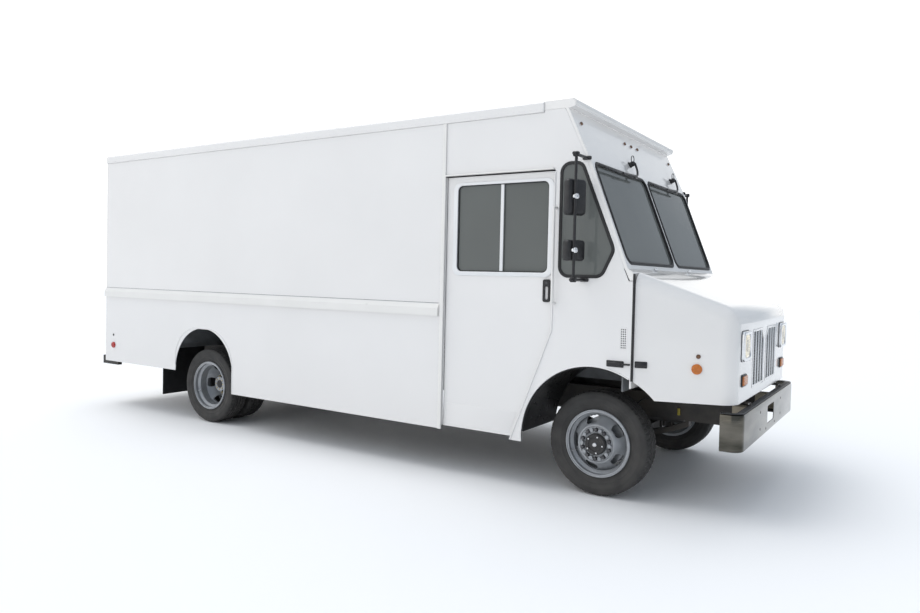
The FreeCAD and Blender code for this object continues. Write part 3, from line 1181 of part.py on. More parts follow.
def mirror_heads():
    """A tall flat mirror and a short convex one, each clamped round the tube."""
    for word, side in SIDES.items():
        for kind, label in (("head", "mirror"), ("spot", "convex_mirror")):
            half = f"({kind}_high - {kind}_low) / 2"
            clamp = rod(f"{kind}_clamp_{word}", "Z", "clamp_radius", ("-clamp_half", "clamp_half"),
                        ("0", "0"))
            ys = flip(-side, "-head_out", "head_in")
            xs = ("-clamp_radius - head_depth", "shell_lap - clamp_radius")
            points = [(xs[0], ys[0]), (xs[1], ys[0]), (xs[1], ys[1]), (xs[0], ys[1])]
            shell = prism(f"{kind}_shell_{word}", "XY", points, (f"-{half}", half), corners=(1, 2),
                          radius="head_round")
            solid = fuse(f"{kind}_solid_{word}", clamp, shell)
            bore = rod(f"{kind}_bore_{word}", "Z", "mirror_tube + running_fit",
                       (f"-{half} - over", f"{half} + over"), ("0", "0"))
            head = cut(f"{kind}_bored_{word}", solid, bore)
            middle = f"({kind}_low + {kind}_high) / 2"
            put(head, ("mirror_x", f"{side} * mirror_y", middle), "Z", f"{side} * head_yaw")
            keep(head, f"{label}_{word}")


def wipers():
    """Arms that hang from pivots above the glass, each with a blade parked level along the top."""
    for word in SIDES:
        boss = rod(f"wiper_boss_{word}", "Z", "wiper_boss", ("-wiper_sink", "wiper_stand"), ("0", "0"))
        arm_down = box(f"wiper_arm_{word}", ("0", "wiper_drop"),
                       ("-wiper_rod - wiper_bar", "wiper_rod - wiper_bar"), ("blade_top", "wiper_stand"))
        arm_out = box(f"wiper_out_{word}", ("wiper_drop - wiper_bar", "wiper_drop"),
                      ("-wiper_centre", "wiper_rod - wiper_bar"), ("blade_top", "wiper_stand"))
        blade = box(f"wiper_blade_{word}", ("wiper_drop - blade_half", "wiper_drop + blade_half"),
                    ("-wiper_centre - wiper_reach", "-wiper_centre + wiper_reach"),
                    ("blade_lift", "blade_top"))
        arm = fuse(f"wiper_solid_{word}", boss, arm_down, arm_out, blade)
        put(arm, (screen_x("wiper_z"), f"wiper_{word}_y", "wiper_z"), "Y", lean(RAKE))
        keep(arm, f"wiper_{word}")


# Cab interior

def dashboard():
    """The dash panel, the engine cover and the steering column."""
    panel = box("dash_panel", ("dash_rear", "dash_front"), ("-dash_half", "dash_half"),
                ("dash_low", "dash_high"))
    cover = box("engine_cover_outer", ("cover_rear", "cover_front"),
                ("-cover_half - cover_wall", "cover_half + cover_wall"), ("floor_high", "dash_low"))
    cover_room = box("engine_cover_room", ("cover_rear + cover_wall", "cover_front + over"),
                     ("-cover_half", "cover_half"), ("floor_high - over", "cover_high"))
    tube = rod("column_tube", "Z", "column_radius", ("-column_length - column_top", "-column_top"),
               ("0", "0"))
    pin = rod("column_pin", "Z", "steer_pin", ("-pin_foot", "pin_top"), ("0", "0"))
    column = put(fuse("column", tube, pin), ("wheel_x", "wheel_y", "wheel_z"), "Y", "wheel_tilt")
    hangers = []
    for end in ("pedal_rod_in", "pedal_rod_out"):
        hangers.append(box(f"{end}_hanger", ("pedal_x - pedal_pin", "pedal_x + pedal_pin"),
                           (f"{end} - pedal_arm", f"{end} + pedal_arm"),
                           ("pedal_z - pedal_pin", "dash_low")))
    pedal_rod = rod("pedal_rod", "Y", "pedal_pin", ("pedal_rod_in", "pedal_rod_out"),
                    ("pedal_x", "pedal_z"))
    shell = cut("engine_cover", cover, cover_room)
    keep(fuse("dash_solid", panel, shell, column, pedal_rod, *hangers), "dashboard")


def steering_wheel():
    """A rim on three spokes, bored to run on the column's pin."""
    ring = doc.addObject("Part::Torus", "wheel_ring")
    bind(ring, "Radius1", "wheel_ring")
    bind(ring, "Radius2", "wheel_grip")
    pieces = [ring, rod("wheel_hub", "Z", "wheel_hub", ("-wheel_half", "wheel_half"), ("0", "0"))]
    for number in range(SPOKES):
        spoke = box(f"wheel_spoke_{number}", ("0", "wheel_ring"), ("-wheel_grip", "wheel_grip"),
                    ("-spoke_half", "spoke_half"))
        holder = group(f"wheel_spoke_holder_{number}", spoke)
        pieces.append(put(holder, ("0", "0", "0"), "Z", f"{number} * 360 / {SPOKES}"))
    bore = rod("wheel_bore", "Z", "steer_pin + running_fit", ("-wheel_half - over", "wheel_half + over"),
               ("0", "0"))
    wheel = cut("wheel_bored", fuse("wheel_solid", *pieces), bore)
    put(wheel, ("wheel_x", "wheel_y", "wheel_z"), "Y", "wheel_tilt")
    keep(wheel, "steering_wheel")


def driver_seat():
    """A seat cushion and a backrest on the pedestal."""
    near, far = "seat_y - seat_half_y", "seat_y + seat_half_y"
    back, front = "seat_x - seat_half_x", "seat_x + seat_half_x"
    cushion = [(back, near), (front, near), (front, far), (back, far)]
    keep(prism("seat_block", "XY", cushion, ("seat_low", "seat_high"), radius="seat_round"),
         "seat_cushion")
    rear = "(seat_x - seat_half_x + seat_round)"
    points = [
        (rear, "seat_high + seat_gap"), (f"{rear} + back_thick", "seat_high + seat_gap"),
        (f"{rear} + back_thick - 2 * seat_round", "back_high"), (f"{rear} - 2 * seat_round", "back_high"),
    ]
    keep(prism("back_block", "XZ", points, ("seat_y - back_half", "seat_y + back_half"),
               corners=(2, 3), radius="seat_round"), "seat_backrest")


def pedals():
    """Hanging brake and accelerator pedals, bored to swing on one rod."""
    for word in ("brake", "throttle"):
        y = f"{word}_y"
        rear = "pedal_x - pedal_arm"
        foot = "pedal_z - pedal_drop"
        eye = rod(f"{word}_eye", "Y", "pedal_eye", (f"{y} - pedal_eye", f"{y} + pedal_eye"),
                  ("pedal_x", "pedal_z"))
        stem = box(f"{word}_stem", (rear, "pedal_x + pedal_arm"), (f"{y} - pedal_arm", f"{y} + pedal_arm"),
                   (foot, "pedal_z"))
        pad = box(f"{word}_pad", (f"{rear} - pedal_thick", rear),
                  (f"{y} - {word}_half", f"{y} + {word}_half"), (f"{foot} - pedal_pad / 2", f"{foot} + pedal_pad / 2"))
        bore = rod(f"{word}_bore", "Y", "pedal_pin + running_fit",
                   (f"{y} - pedal_eye - over", f"{y} + pedal_eye + over"), ("pedal_x", "pedal_z"))
        label = "brake_pedal" if word == "brake" else "accelerator_pedal"
        keep(cut(f"{word}_bored", fuse(f"{word}_solid", eye, stem, pad), bore), label)


def write_parts():
    """Check every object and each sub-part, then write one STEP file per node."""
    doc.recompute()
    broken = [item.Name for item in doc.Objects if {"Invalid", "Error"} & set(item.State)]
    if broken:
        raise RuntimeError(f"failed objects: {broken}")
    for item in KEPT:
        if item.Shape.isNull() or not item.Shape.isValid():
            raise RuntimeError(f"bad shape: {item.Label}")
    for item in KEPT:
        item.Shape.exportStep(f"parts/{item.Label}.step")
        size = item.Shape.BoundBox
        litres = item.Shape.Volume / LITRE
        print(f"{item.Label:22s} solids {len(item.Shape.Solids):2d}  litres {litres:9.2f}  "
              f"x {size.XMin:8.1f} {size.XMax:8.1f}  y {size.YMin:8.1f} {size.YMax:8.1f}  "
              f"z {size.ZMin:7.1f} {size.ZMax:7.1f}")
    print(len(KEPT), "nodes")


fill_sheet()
for build in (
    front_wheels, rear_wheels, chassis_frame, front_axle, rear_axle, leaf_springs, powertrain,
    prop_shaft, radiator, fuel_tank, exhaust, knuckles, tie_rod, floor, side_panels, cowl_sides,
    front_cap, cab_glass, window_gaskets, roof, body_mouldings, rear_frame, rear_doors, cab_doors,
    hood, grille, front_lamps, front_bumper, rear_bumper, mud_flaps, body_lamps, mirror_arms,
    mirror_heads, wipers, dashboard, steering_wheel, driver_seat, pedals,
):
    build()
write_parts()
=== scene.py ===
import math

import bmesh
import bpy
from mathutils import Matrix, Vector


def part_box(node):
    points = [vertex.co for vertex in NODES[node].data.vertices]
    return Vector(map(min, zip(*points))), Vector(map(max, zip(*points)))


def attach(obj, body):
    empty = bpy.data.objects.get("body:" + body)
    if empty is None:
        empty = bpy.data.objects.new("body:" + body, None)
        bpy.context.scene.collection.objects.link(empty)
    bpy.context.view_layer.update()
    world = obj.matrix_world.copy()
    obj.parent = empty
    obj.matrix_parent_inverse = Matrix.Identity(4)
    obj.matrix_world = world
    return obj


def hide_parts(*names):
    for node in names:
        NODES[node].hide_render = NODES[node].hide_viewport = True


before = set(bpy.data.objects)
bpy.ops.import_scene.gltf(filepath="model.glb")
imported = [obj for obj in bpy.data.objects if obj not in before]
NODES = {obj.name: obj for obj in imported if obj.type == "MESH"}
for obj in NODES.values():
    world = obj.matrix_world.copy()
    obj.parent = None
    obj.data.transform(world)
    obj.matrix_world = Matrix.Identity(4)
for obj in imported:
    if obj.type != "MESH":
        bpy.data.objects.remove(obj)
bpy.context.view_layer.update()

# A walk-in mail delivery van. Metres; +X forward, +Y to the driver's left, +Z up, ground at z = 0.

SIDES = {"left": 1, "right": -1}


def low(node):
    """The lowest corner of a CAD node."""
    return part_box(node)[0]


def high(node):
    """The highest corner of a CAD node."""
    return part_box(node)[1]


# Key places, read from the frame
AXLE_F = (low("front_tyre_left").x + high("front_tyre_left").x) / 2
AXLE_R = (low("rear_tyres_left").x + high("rear_tyres_left").x) / 2
AXLE_Z = high("front_tyre_left").z / 2
WHEEL_Y = (low("front_tyre_left").y + high("front_tyre_left").y) / 2
SIDE_Y = high("side_panels").y
HOOD_X = high("grille").x
BODY_BACK = low("side_panels").x
ROOF_TOP = high("roof").z
FRONT_ARCH = (2.755, 0.430)
ARCH_RADIUS = 0.590
REAR_ARCH = (-2.265, -1.295, 1.035)
REAR_ARCH_ROUND = 0.480
SCREEN_TOP = (2.700, 2.558)
SCREEN_LOW = (2.998, 1.784)
MIRROR_X = 2.672
MIRROR_Y = 1.410
MIRROR_FEET = (1.663, 2.573)
FLANK_REAR = 1.195
FLANK_FRONT = 0.985
HOOD_BOTTOM = 0.805
TYRE_HALF = 0.113
NUT_CIRCLE = 0.112
RIM_LIP = [(0.0985, 0.262), (0.1020, 0.262), (0.1045, 0.259), (0.1045, 0.254), (0.1020, 0.2515),
           (0.0985, 0.2515)]


# Materials

def links(tree, *pairs):
    """Join sockets in pairs."""
    for start, end in pairs:
        tree.links.new(start, end)


def settle(item, **values):
    """Set a node's sockets; an underscore in a name stands for a space."""
    for name, value in values.items():
        item.inputs[name.replace("_", " ")].default_value = value
    return item


def node(tree, kind, **values):
    """A new shader node with some of its sockets set."""
    return settle(tree.nodes.new(f"ShaderNode{kind}"), **values)


def tone_ramp(tree, *stops):
    """A ramp between two tones, each given as (position, tone)."""
    ramp = node(tree, "ValToRGB")
    for element, (position, tone) in zip(ramp.color_ramp.elements, stops):
        element.position = position
        element.color = (*tone, 1)
    return ramp


def mixed(tree, first, second, share=1.0, blend="MIX"):
    """A colour socket mixed with a second socket or tone, by a number or a socket."""
    mix = node(tree, "Mix")
    mix.data_type = "RGBA"
    mix.blend_type = blend
    for name, value in (("A", first), ("B", second), ("Factor", share)):
        if isinstance(value, bpy.types.NodeSocket):
            tree.links.new(value, mix.inputs[name])
        else:
            mix.inputs[name].default_value = value
    return mix.outputs["Result"]


def soiled(tree, place, cloud, colour, grime, grime_tone):
    """Road dirt over a colour, patchy and thinning out between knee and chest height."""
    height = node(tree, "SeparateXYZ")
    fade = node(tree, "MapRange", From_Min=0.30, From_Max=1.0, To_Min=grime, To_Max=0.0)
    patch = node(tree, "Math")
    patch.operation = "MULTIPLY"
    links(tree, (place, height.inputs["Vector"]), (height.outputs["Z"], fade.inputs["Value"]),
          (fade.outputs["Result"], patch.inputs[0]), (cloud, patch.inputs[1]))
    return mixed(tree, colour, (*grime_tone, 1), patch.outputs["Value"])


def material(name, tone, second, scale=3.0, detail=4.0, rough=0.4, spread=0.08, bump=0.0, bump_scale=200.0,
             metal=0.0, coat=0.0, grime=0.0, grime_tone=(0.20, 0.17, 0.13), see_through=0.0, ior=1.45,
             sheen=0.0, glow=0.0, stretch=(1, 1, 1)):
    """A procedural finish: two tones, uneven gloss, fine bumps and road dirt that thins with height."""
    made = bpy.data.materials.new(name)
    made.use_nodes = True
    tree = made.node_tree
    shader = settle(tree.nodes["Principled BSDF"], Metallic=metal, IOR=ior, Coat_Weight=coat,
                    Coat_Roughness=0.04, Transmission_Weight=see_through, Sheen_Weight=sheen)
    place = node(tree, "TexCoord").outputs["Object"]
    stretched = node(tree, "Mapping", Scale=stretch)
    cloud = node(tree, "TexNoise", Scale=scale, Detail=detail)
    ramp = tone_ramp(tree, (0.35, second), (0.65, tone))
    fine = node(tree, "TexNoise", Scale=scale * 4, Detail=5.0)
    shine = node(tree, "MapRange", To_Min=max(rough - spread, 0.0), To_Max=rough + spread)
    across = stretched.outputs["Vector"]
    links(tree, (place, stretched.inputs["Vector"]), (across, cloud.inputs["Vector"]),
          (cloud.outputs["Fac"], ramp.inputs["Fac"]), (across, fine.inputs["Vector"]),
          (fine.outputs["Fac"], shine.inputs["Value"]), (shine.outputs["Result"],
                                                         shader.inputs["Roughness"]))
    colour = ramp.outputs["Color"]
    if grime:
        colour = soiled(tree, place, cloud.outputs["Fac"], colour, grime, grime_tone)
    links(tree, (colour, shader.inputs["Base Color"]))
    if glow:
        links(tree, (colour, shader.inputs["Emission Color"]))
        settle(shader, Emission_Strength=glow)
    if bump:
        grain = node(tree, "TexNoise", Scale=bump_scale, Detail=3.0)
        lift = node(tree, "Bump", Strength=bump, Distance=0.002)
        links(tree, (across, grain.inputs["Vector"]), (grain.outputs["Fac"], lift.inputs["Height"]),
              (lift.outputs["Normal"], shader.inputs["Normal"]))
    return made


PAINT = material("coachwork_white", (0.80, 0.79, 0.78), (0.775, 0.765, 0.755), 0.8, 3, 0.20, 0.05, 0.05,
                 45.0, coat=0.6, grime=0.10, grime_tone=(0.45, 0.41, 0.36))
PAINT_WARM = material("front_end_white", (0.82, 0.805, 0.785), (0.795, 0.78, 0.76), 1.2, 3, 0.18, 0.05,
                      0.06, 38.0, coat=0.7, grime=0.12, grime_tone=(0.45, 0.41, 0.36))
TRIM = material("belt_trim_white", (0.80, 0.79, 0.765), (0.77, 0.76, 0.735), 2.0, 3, 0.30, 0.06, 0.05, 90.0,
                coat=0.3)
ALLOY = material("window_frame_alloy", (0.76, 0.77, 0.78), (0.72, 0.73, 0.74), 3.0, 3, 0.30, 0.04, 0.04,
                 300.0, metal=0.35)
GLASS = material("tinted_glass", (0.155, 0.165, 0.158), (0.142, 0.150, 0.144), 1.2, 2, 0.035, 0.02,
                 see_through=0.10, ior=1.3)
RUBBER = material("seal_rubber", (0.018, 0.018, 0.019), (0.011, 0.011, 0.012), 14.0, 4, 0.48, 0.10, 0.25,
                  420.0)
TYRE = material("tyre_rubber", (0.042, 0.041, 0.040), (0.026, 0.026, 0.026), 9.0, 6, 0.72, 0.10, 0.45,
                260.0, grime=0.30, grime_tone=(0.10, 0.09, 0.08))
RIM = material("wheel_steel", (0.36, 0.375, 0.39), (0.29, 0.30, 0.315), 10.0, 5, 0.32, 0.08, 0.15, 160.0,
               metal=0.35, coat=0.2)
HUB = material("hub_black", (0.020, 0.020, 0.021), (0.035, 0.033, 0.031), 22.0, 5, 0.40, 0.12, 0.3, 220.0)
NUT = material("wheel_nut_dark", (0.11, 0.11, 0.115), (0.06, 0.06, 0.065), 40.0, 4, 0.35, 0.10, 0.2, 400.0,
               metal=0.8)
BRASS = material("stud_yellow_zinc", (0.62, 0.52, 0.28), (0.45, 0.36, 0.18), 45.0, 4, 0.30, 0.08, 0.2,
                 400.0, metal=0.85)
BRIGHT = material("bright_bolt", (0.72, 0.72, 0.72), (0.55, 0.55, 0.56), 45.0, 4, 0.22, 0.08, 0.1, 300.0,
                  metal=0.95)
CHROME = material("chrome_bezel", (0.78, 0.79, 0.80), (0.66, 0.67, 0.69), 12.0, 3, 0.10, 0.04, 0.05, 120.0,
                  metal=1.0)
# Bumper chrome: its dark brownish tones, banded across the height, are a painted reflection of the ground
# and horizon.
CHROME_PAINTED_REFLECTION = material("bumper_steel", (0.15, 0.14, 0.12), (0.045, 0.045, 0.037), 2.6, 5, 0.13, 0.05, 0.08, 30.0,
                 metal=1.0, stretch=(1, 1, 4))
BLACK = material("satin_black_plastic", (0.022, 0.022, 0.024), (0.013, 0.013, 0.014), 25.0, 4, 0.38, 0.10,
                 0.25, 380.0)
CHASSIS = material("chassis_black", (0.028, 0.027, 0.026), (0.055, 0.048, 0.040), 5.0, 6, 0.55, 0.15, 0.35,
                   120.0)
CAST = material("cast_metal", (0.13, 0.13, 0.128), (0.075, 0.070, 0.066), 7.0, 6, 0.60, 0.12, 0.6, 180.0,
                metal=0.6)
PIPE = material("exhaust_steel", (0.34, 0.32, 0.29), (0.20, 0.17, 0.14), 6.0, 5, 0.45, 0.12, 0.3, 140.0,
                metal=0.8)
LINER = material("arch_liner", (0.014, 0.014, 0.015), (0.022, 0.022, 0.022), 6.0, 4, 0.30, 0.10, 0.2, 60.0)
FLOOR_GREY = material("floor_grey", (0.20, 0.21, 0.22), (0.14, 0.145, 0.15), 6.0, 6, 0.55, 0.12, 0.3, 90.0)
LENS = material("headlamp_lens", (0.90, 0.88, 0.82), (0.84, 0.82, 0.75), 30.0, 3, 0.05, 0.02,
                see_through=0.85, coat=0.2)
# Headlamp reflector: its warm glow is painted light standing in for the bright reflection in the bowl.
REFLECTOR_PAINTED_GLOW = material("lamp_reflector", (0.95, 0.90, 0.76), (0.85, 0.78, 0.60), 18.0, 3, 0.12, 0.04, metal=0.5,
                glow=0.55)
AMBER = material("amber_lens", (0.60, 0.19, 0.035), (0.48, 0.14, 0.02), 40.0, 3, 0.22, 0.05, 0.3, 500.0,
                 coat=0.15)
RED = material("red_lens", (0.45, 0.018, 0.015), (0.32, 0.012, 0.010), 40.0, 3, 0.14, 0.05, 0.3, 500.0,
               coat=0.5)
DARK_AMBER = material("small_reflector", (0.16, 0.07, 0.03), (0.10, 0.045, 0.02), 60.0, 3, 0.2, 0.05, 0.2,
                      500.0, coat=0.4)
PLASTIC = material("dash_plastic", (0.10, 0.10, 0.107), (0.075, 0.075, 0.08), 12.0, 5, 0.55, 0.08, 0.5,
                   520.0)
VINYL = material("seat_vinyl", (0.052, 0.054, 0.060), (0.036, 0.038, 0.043), 9.0, 5, 0.46, 0.10, 0.6, 340.0,
                 sheen=0.15)
MIRROR = material("mirror_glass", (0.80, 0.82, 0.83), (0.76, 0.78, 0.80), 4.0, 2, 0.04, 0.02, metal=1.0)
YELLOW = material("yellow_tag", (0.42, 0.34, 0.04), (0.25, 0.20, 0.03), 30.0, 4, 0.45, 0.10, 0.2, 200.0)
BEIGE = material("primer_bracket", (0.50, 0.44, 0.34), (0.36, 0.31, 0.23), 12.0, 5, 0.55, 0.12, 0.3, 150.0)
FINS = material("radiator_fins", (0.16, 0.16, 0.165), (0.05, 0.05, 0.052), 60.0, 2, 0.50, 0.10, 0.5, 400.0,
                metal=0.6, stretch=(1, 8, 0.5))
STAGE = material("pale_floor", (0.96, 0.96, 0.96), (0.955, 0.955, 0.955), 0.4, 2, 0.75, 0.05)


# Shapes

def link(obj):
    """Put a new object in the scene."""
    bpy.context.scene.collection.objects.link(obj)
    return obj


def from_bmesh(name, shape):
    """An object from a finished bmesh."""
    bmesh.ops.recalc_face_normals(shape, faces=shape.faces)
    mesh = bpy.data.meshes.new(name)
    shape.to_mesh(mesh)
    shape.free()
    return link(bpy.data.objects.new(name, mesh))


def frozen(obj):
    """The object with its modifiers or curve turned into plain mesh."""
    bpy.context.view_layer.update()
    solid = bpy.data.meshes.new_from_object(obj.evaluated_get(bpy.context.evaluated_depsgraph_get()))
    name = obj.name
    matrix = obj.matrix_world.copy()
    bpy.data.objects.remove(obj)
    fresh = link(bpy.data.objects.new(name, solid))
    fresh.matrix_world = matrix
    return fresh


def smooth(obj, angle=38):
    """Smooth shading that breaks at edges sharper than an angle."""
    for polygon in obj.data.polygons:
        polygon.use_smooth = True
    obj.data.set_sharp_from_angle(angle=math.radians(angle))
    return obj


def finish(obj, paint, body="van", replaced=(), angle=38):
    """Give a piece its material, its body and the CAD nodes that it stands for."""
    obj.data.materials.clear()
    obj.data.materials.append(paint)
    smooth(obj, angle)
    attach(obj, body)
    if replaced:
        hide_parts(*replaced)
    return obj


def rounded(points, radius, steps=7):
    """A closed outline with its corners rounded; radius is one number or one for each corner."""
    out = []
    count = len(points)
    for number in range(count):
        size = radius[number] if isinstance(radius, (list, tuple)) else radius
        before, here, after = (Vector(points[(number + shift) % count]) for shift in (-1, 0, 1))
        if size <= 0:
            out.append(here)
            continue
        back, ahead = (before - here), (after - here)
        angle = back.angle(ahead)
        reach = min(size / math.tan(angle / 2), 0.49 * back.length, 0.49 * ahead.length)
        size = reach * math.tan(angle / 2)
        back.normalize()
        ahead.normalize()
        centre = here + (back + ahead).normalized() * (size / math.sin(angle / 2))
        first, last = here + back * reach - centre, here + ahead * reach - centre
        begin = math.atan2(first.y, first.x)
        turn = (math.atan2(last.y, last.x) - begin + math.pi) % math.tau - math.pi
        for step in range(steps + 1):
            way = begin + turn * step / steps
            out.append(centre + size * Vector((math.cos(way), math.sin(way))))
    return out


def wound(loop, anticlockwise):
    """The loop in the wanted direction."""
    area = sum(a.x * b.y - b.x * a.y for a, b in zip(loop, loop[1:] + loop[:1]))
    return loop if (area > 0) == anticlockwise else loop[::-1]


def reach(side, near, far):
    """Two distances from the centre line on one side of the van, the lower value first."""
    return sorted((side * near, side * far))


def on_side(y):
    """Plates drawn in (x, z), whose thickness runs from y towards -Y."""
    return Matrix(((1, 0, 0, 0), (0, 0, -1, y), (0, 1, 0, 0), (0, 0, 0, 1)))


def on_front(x):
    """Plates drawn in (y, z), whose thickness runs from x towards +X."""
    return Matrix(((0, 0, 1, x), (1, 0, 0, 0), (0, 1, 0, 0), (0, 0, 0, 1)))


def plate(name, outer, holes, place, depth, edge=0.0, steps=2):
    """A flat plate with holes and softened edges."""
    curve = bpy.data.curves.new(name, "CURVE")
    curve.dimensions = "2D"
    curve.fill_mode = "BOTH"
    curve.extrude = depth / 2 - edge
    curve.bevel_depth = edge
    curve.bevel_resolution = steps
    curve.offset = -edge
    loops = [wound([Vector(p) for p in outer], True)] + [wound([Vector(p) for p in hole], False)
                                                         for hole in holes]
    for loop in loops:
        spline = curve.splines.new("POLY")
        spline.points.add(len(loop) - 1)
        for point, spot in zip(spline.points, loop):
            point.co = (spot.x, spot.y, 0, 1)
        spline.use_cyclic_u = True
    obj = frozen(link(bpy.data.objects.new(name, curve)))
    obj.data.transform(place @ Matrix.Translation((0, 0, depth / 2)))
    weld(obj)
    return obj


def weld(obj, gap=1e-5):
    """Join vertices that lie on each other."""
    shape = bmesh.new()
    shape.from_mesh(obj.data)
    bmesh.ops.remove_doubles(shape, verts=shape.verts, dist=gap)
    bmesh.ops.recalc_face_normals(shape, faces=shape.faces)
    shape.to_mesh(obj.data)
    shape.free()
    return obj


def block(name, lo, hi, edge=0.004, steps=3, place=None):
    """A box with rounded edges."""
    shape = bmesh.new()
    bmesh.ops.create_cube(shape, size=1)
    size = Vector(hi) - Vector(lo)
    middle = (Vector(hi) + Vector(lo)) / 2
    bmesh.ops.transform(shape, matrix=Matrix.Translation(middle) @ Matrix.Diagonal((*size, 1)),
                        verts=shape.verts)
    edge = min(edge, min(size) * 0.49)
    bmesh.ops.bevel(shape, geom=shape.edges[:], offset=edge, segments=steps, affect="EDGES", profile=0.5)
    if place:
        bmesh.ops.transform(shape, matrix=place, verts=shape.verts)
    return from_bmesh(name, shape)


def lathe(name, profile, centre, side=1, segments=72, ripple=None, axis="Y"):
    """A profile of (distance outboard, radius) turned about an axis through a centre."""
    shape = bmesh.new()
    rings = []
    for step in range(segments):
        way = math.tau * step / segments
        ring = []
        for number, (across, radius) in enumerate(profile):
            size = ripple(number, step, across, radius) if ripple else radius
            up, over = size * math.cos(way), size * math.sin(way)
            spot = {"Y": (over, across * side, up), "X": (across * side, over, up),
                    "Z": (up, over, across * side)}[axis]
            ring.append(shape.verts.new(Vector(centre) + Vector(spot)))
        rings.append(ring)
    count = len(profile)
    for step in range(segments):
        here, there = rings[step], rings[(step + 1) % segments]
        for number in range(count - 1):
            shape.faces.new((here[number], here[number + 1], there[number + 1], there[number]))
    bmesh.ops.remove_doubles(shape, verts=shape.verts, dist=1e-6)
    bmesh.ops.dissolve_degenerate(shape, edges=shape.edges, dist=1e-7)
    return from_bmesh(name, shape)


def tube(name, points, radius, bend=0.03, steps=6, closed=False):
    """A bent tube through points, with rounded bends and closed ends."""
    spots = [Vector(p) for p in points]
    path = [] if closed else [spots[0]]
    count = len(spots)
    for number in range(count) if closed else range(1, count - 1):
        before, here, after = spots[number - 1], spots[number], spots[(number + 1) % count]
        back, ahead = before - here, after - here
        reach = min(bend, 0.45 * back.length, 0.45 * ahead.length)
        first, last = here + back.normalized() * reach, here + ahead.normalized() * reach
        for step in range(steps + 1):
            t = step / steps
            path.append((1 - t) ** 2 * first + 2 * t * (1 - t) * here + t * t * last)
    if not closed:
        path.append(spots[-1])
    curve = bpy.data.curves.new(name, "CURVE")
    curve.dimensions = "3D"
    curve.bevel_depth = radius
    curve.bevel_resolution = 4
    curve.use_fill_caps = True
    spline = curve.splines.new("POLY")
    spline.points.add(len(path) - 1)
    for point, spot in zip(spline.points, path):
        point.co = (*spot, 1)
    spline.use_cyclic_u = closed
    return frozen(link(bpy.data.objects.new(name, curve)))


def joined(name, pieces):
    """Several meshes as one piece."""
    shape = bmesh.new()
    for piece in pieces:
        piece.data.transform(piece.matrix_world)
        shape.from_mesh(piece.data)
        bpy.data.objects.remove(piece)
    mesh = bpy.data.meshes.new(name)
    shape.to_mesh(mesh)
    shape.free()
    return link(bpy.data.objects.new(name, mesh))


def carved(obj, *tools):
    """The object with each tool cut from it; the tools are used up."""
    for tool in tools:
        cut = obj.modifiers.new("cut", "BOOLEAN")
        cut.operation = "DIFFERENCE"
        cut.solver = "EXACT"
        cut.object = tool
    obj = frozen(obj)
    for tool in tools:
        bpy.data.objects.remove(tool)
    return obj


def prism(name, outline, place, depth, edge=0.0):
    """A solid with a straight outline."""
    return plate(name, outline, [], place, depth, edge)


def rectangle(x0, y0, x1, y1):
    """The corners of an upright rectangle."""
    return [(x0, y0), (x1, y0), (x1, y1), (x0, y1)]


def studs(name, spots, radius, height, direction, sides=6, cap=0.35):
    """Small domed or hexagonal heads standing on spots, all facing one way."""
    shape = bmesh.new()
    turn = Vector((0, 0, 1)).rotation_difference(Vector(direction)).to_matrix().to_4x4()
    for spot in spots:
        base = Matrix.Translation(spot) @ turn
        rings = []
        for up, size in ((-0.1, 1), (1 - cap, 1), (1, 1 - cap * 0.6)):
            ring = []
            for step in range(sides):
                way = math.tau * (step + 0.5) / sides
                ring.append(shape.verts.new(base @ Vector((radius * size * math.cos(way),
                                                           radius * size * math.sin(way), height * up))))
            rings.append(ring)
        for lower, upper in zip(rings, rings[1:]):
            for step in range(sides):
                after = (step + 1) % sides
                shape.faces.new((lower[step], lower[after], upper[after], upper[step]))
        shape.faces.new(rings[-1])
        shape.faces.new(rings[0][::-1])
    return from_bmesh(name, shape)


# CAD nodes that keep their shape

def repaint():
    """Materials, and softened edges where a sharp one would show."""
    paints = {PAINT: ("side_panels", "cowl_sides", "roof", "rear_frame", "rear_door_left",
                      "rear_door_right", "cab_door_left", "cab_door_right"), PAINT_WARM: ("front_cap",),
              TRIM: ("body_mouldings",), GLASS: ("cab_glass", "door_glass_left", "door_glass_right",
                                                 "sliding_pane_left", "sliding_pane_right"),
              RUBBER: ("window_gaskets", "mud_flaps"), CHASSIS: ("chassis_frame", "front_axle_beam",
                                                                 "rear_axle_housing", "leaf_springs",
                                                                 "prop_shaft", "fuel_tank", "knuckle_left",
                                                                 "knuckle_right", "tie_rod", "rear_bumper"),
              CAST: ("powertrain",), PIPE: ("exhaust",), FINS: ("radiator",), FLOOR_GREY: ("floor",),
              PLASTIC: ("dashboard",), BLACK: ("rear_door_handle", "mirror_arms", "brake_pedal",
                                               "accelerator_pedal"),
              RIM: ("front_rim_left", "front_rim_right", "rear_rims_left", "rear_rims_right")}
    for paint, names in paints.items():
        for name in names:
            NODES[name].data.materials.clear()
            NODES[name].data.materials.append(paint)
    edges = {"front_cap": 0.010, "roof": 0.008, "side_panels": 0.003, "cowl_sides": 0.003,
             "cab_door_left": 0.004, "cab_door_right": 0.004, "rear_door_left": 0.005,
             "rear_door_right": 0.005, "window_gaskets": 0.003, "body_mouldings": 0.004,
             "rear_bumper": 0.004, "mud_flaps": 0.003, "dashboard": 0.010, "powertrain": 0.015,
             "front_axle_beam": 0.006, "rear_frame": 0.003, "radiator": 0.004, "knuckle_left": 0.003,
             "knuckle_right": 0.003, "rear_door_handle": 0.004}
    for name, width in edges.items():
        soften(NODES[name], width)


def soften(obj, width):
    """A small rounding along the sharp edges."""
    join = obj.modifiers.new("join", "WELD")
    join.merge_threshold = 1e-5
    edge = obj.modifiers.new("edge", "BEVEL")
    edge.width = width
    edge.segments = 2
    edge.limit_method = "ANGLE"
    edge.angle_limit = math.radians(40)
    edge.harden_normals = True
    edge.use_clamp_overlap = True


# Wheels

TREAD_HALF = 0.092
GROOVES = (0.052, 0.018)


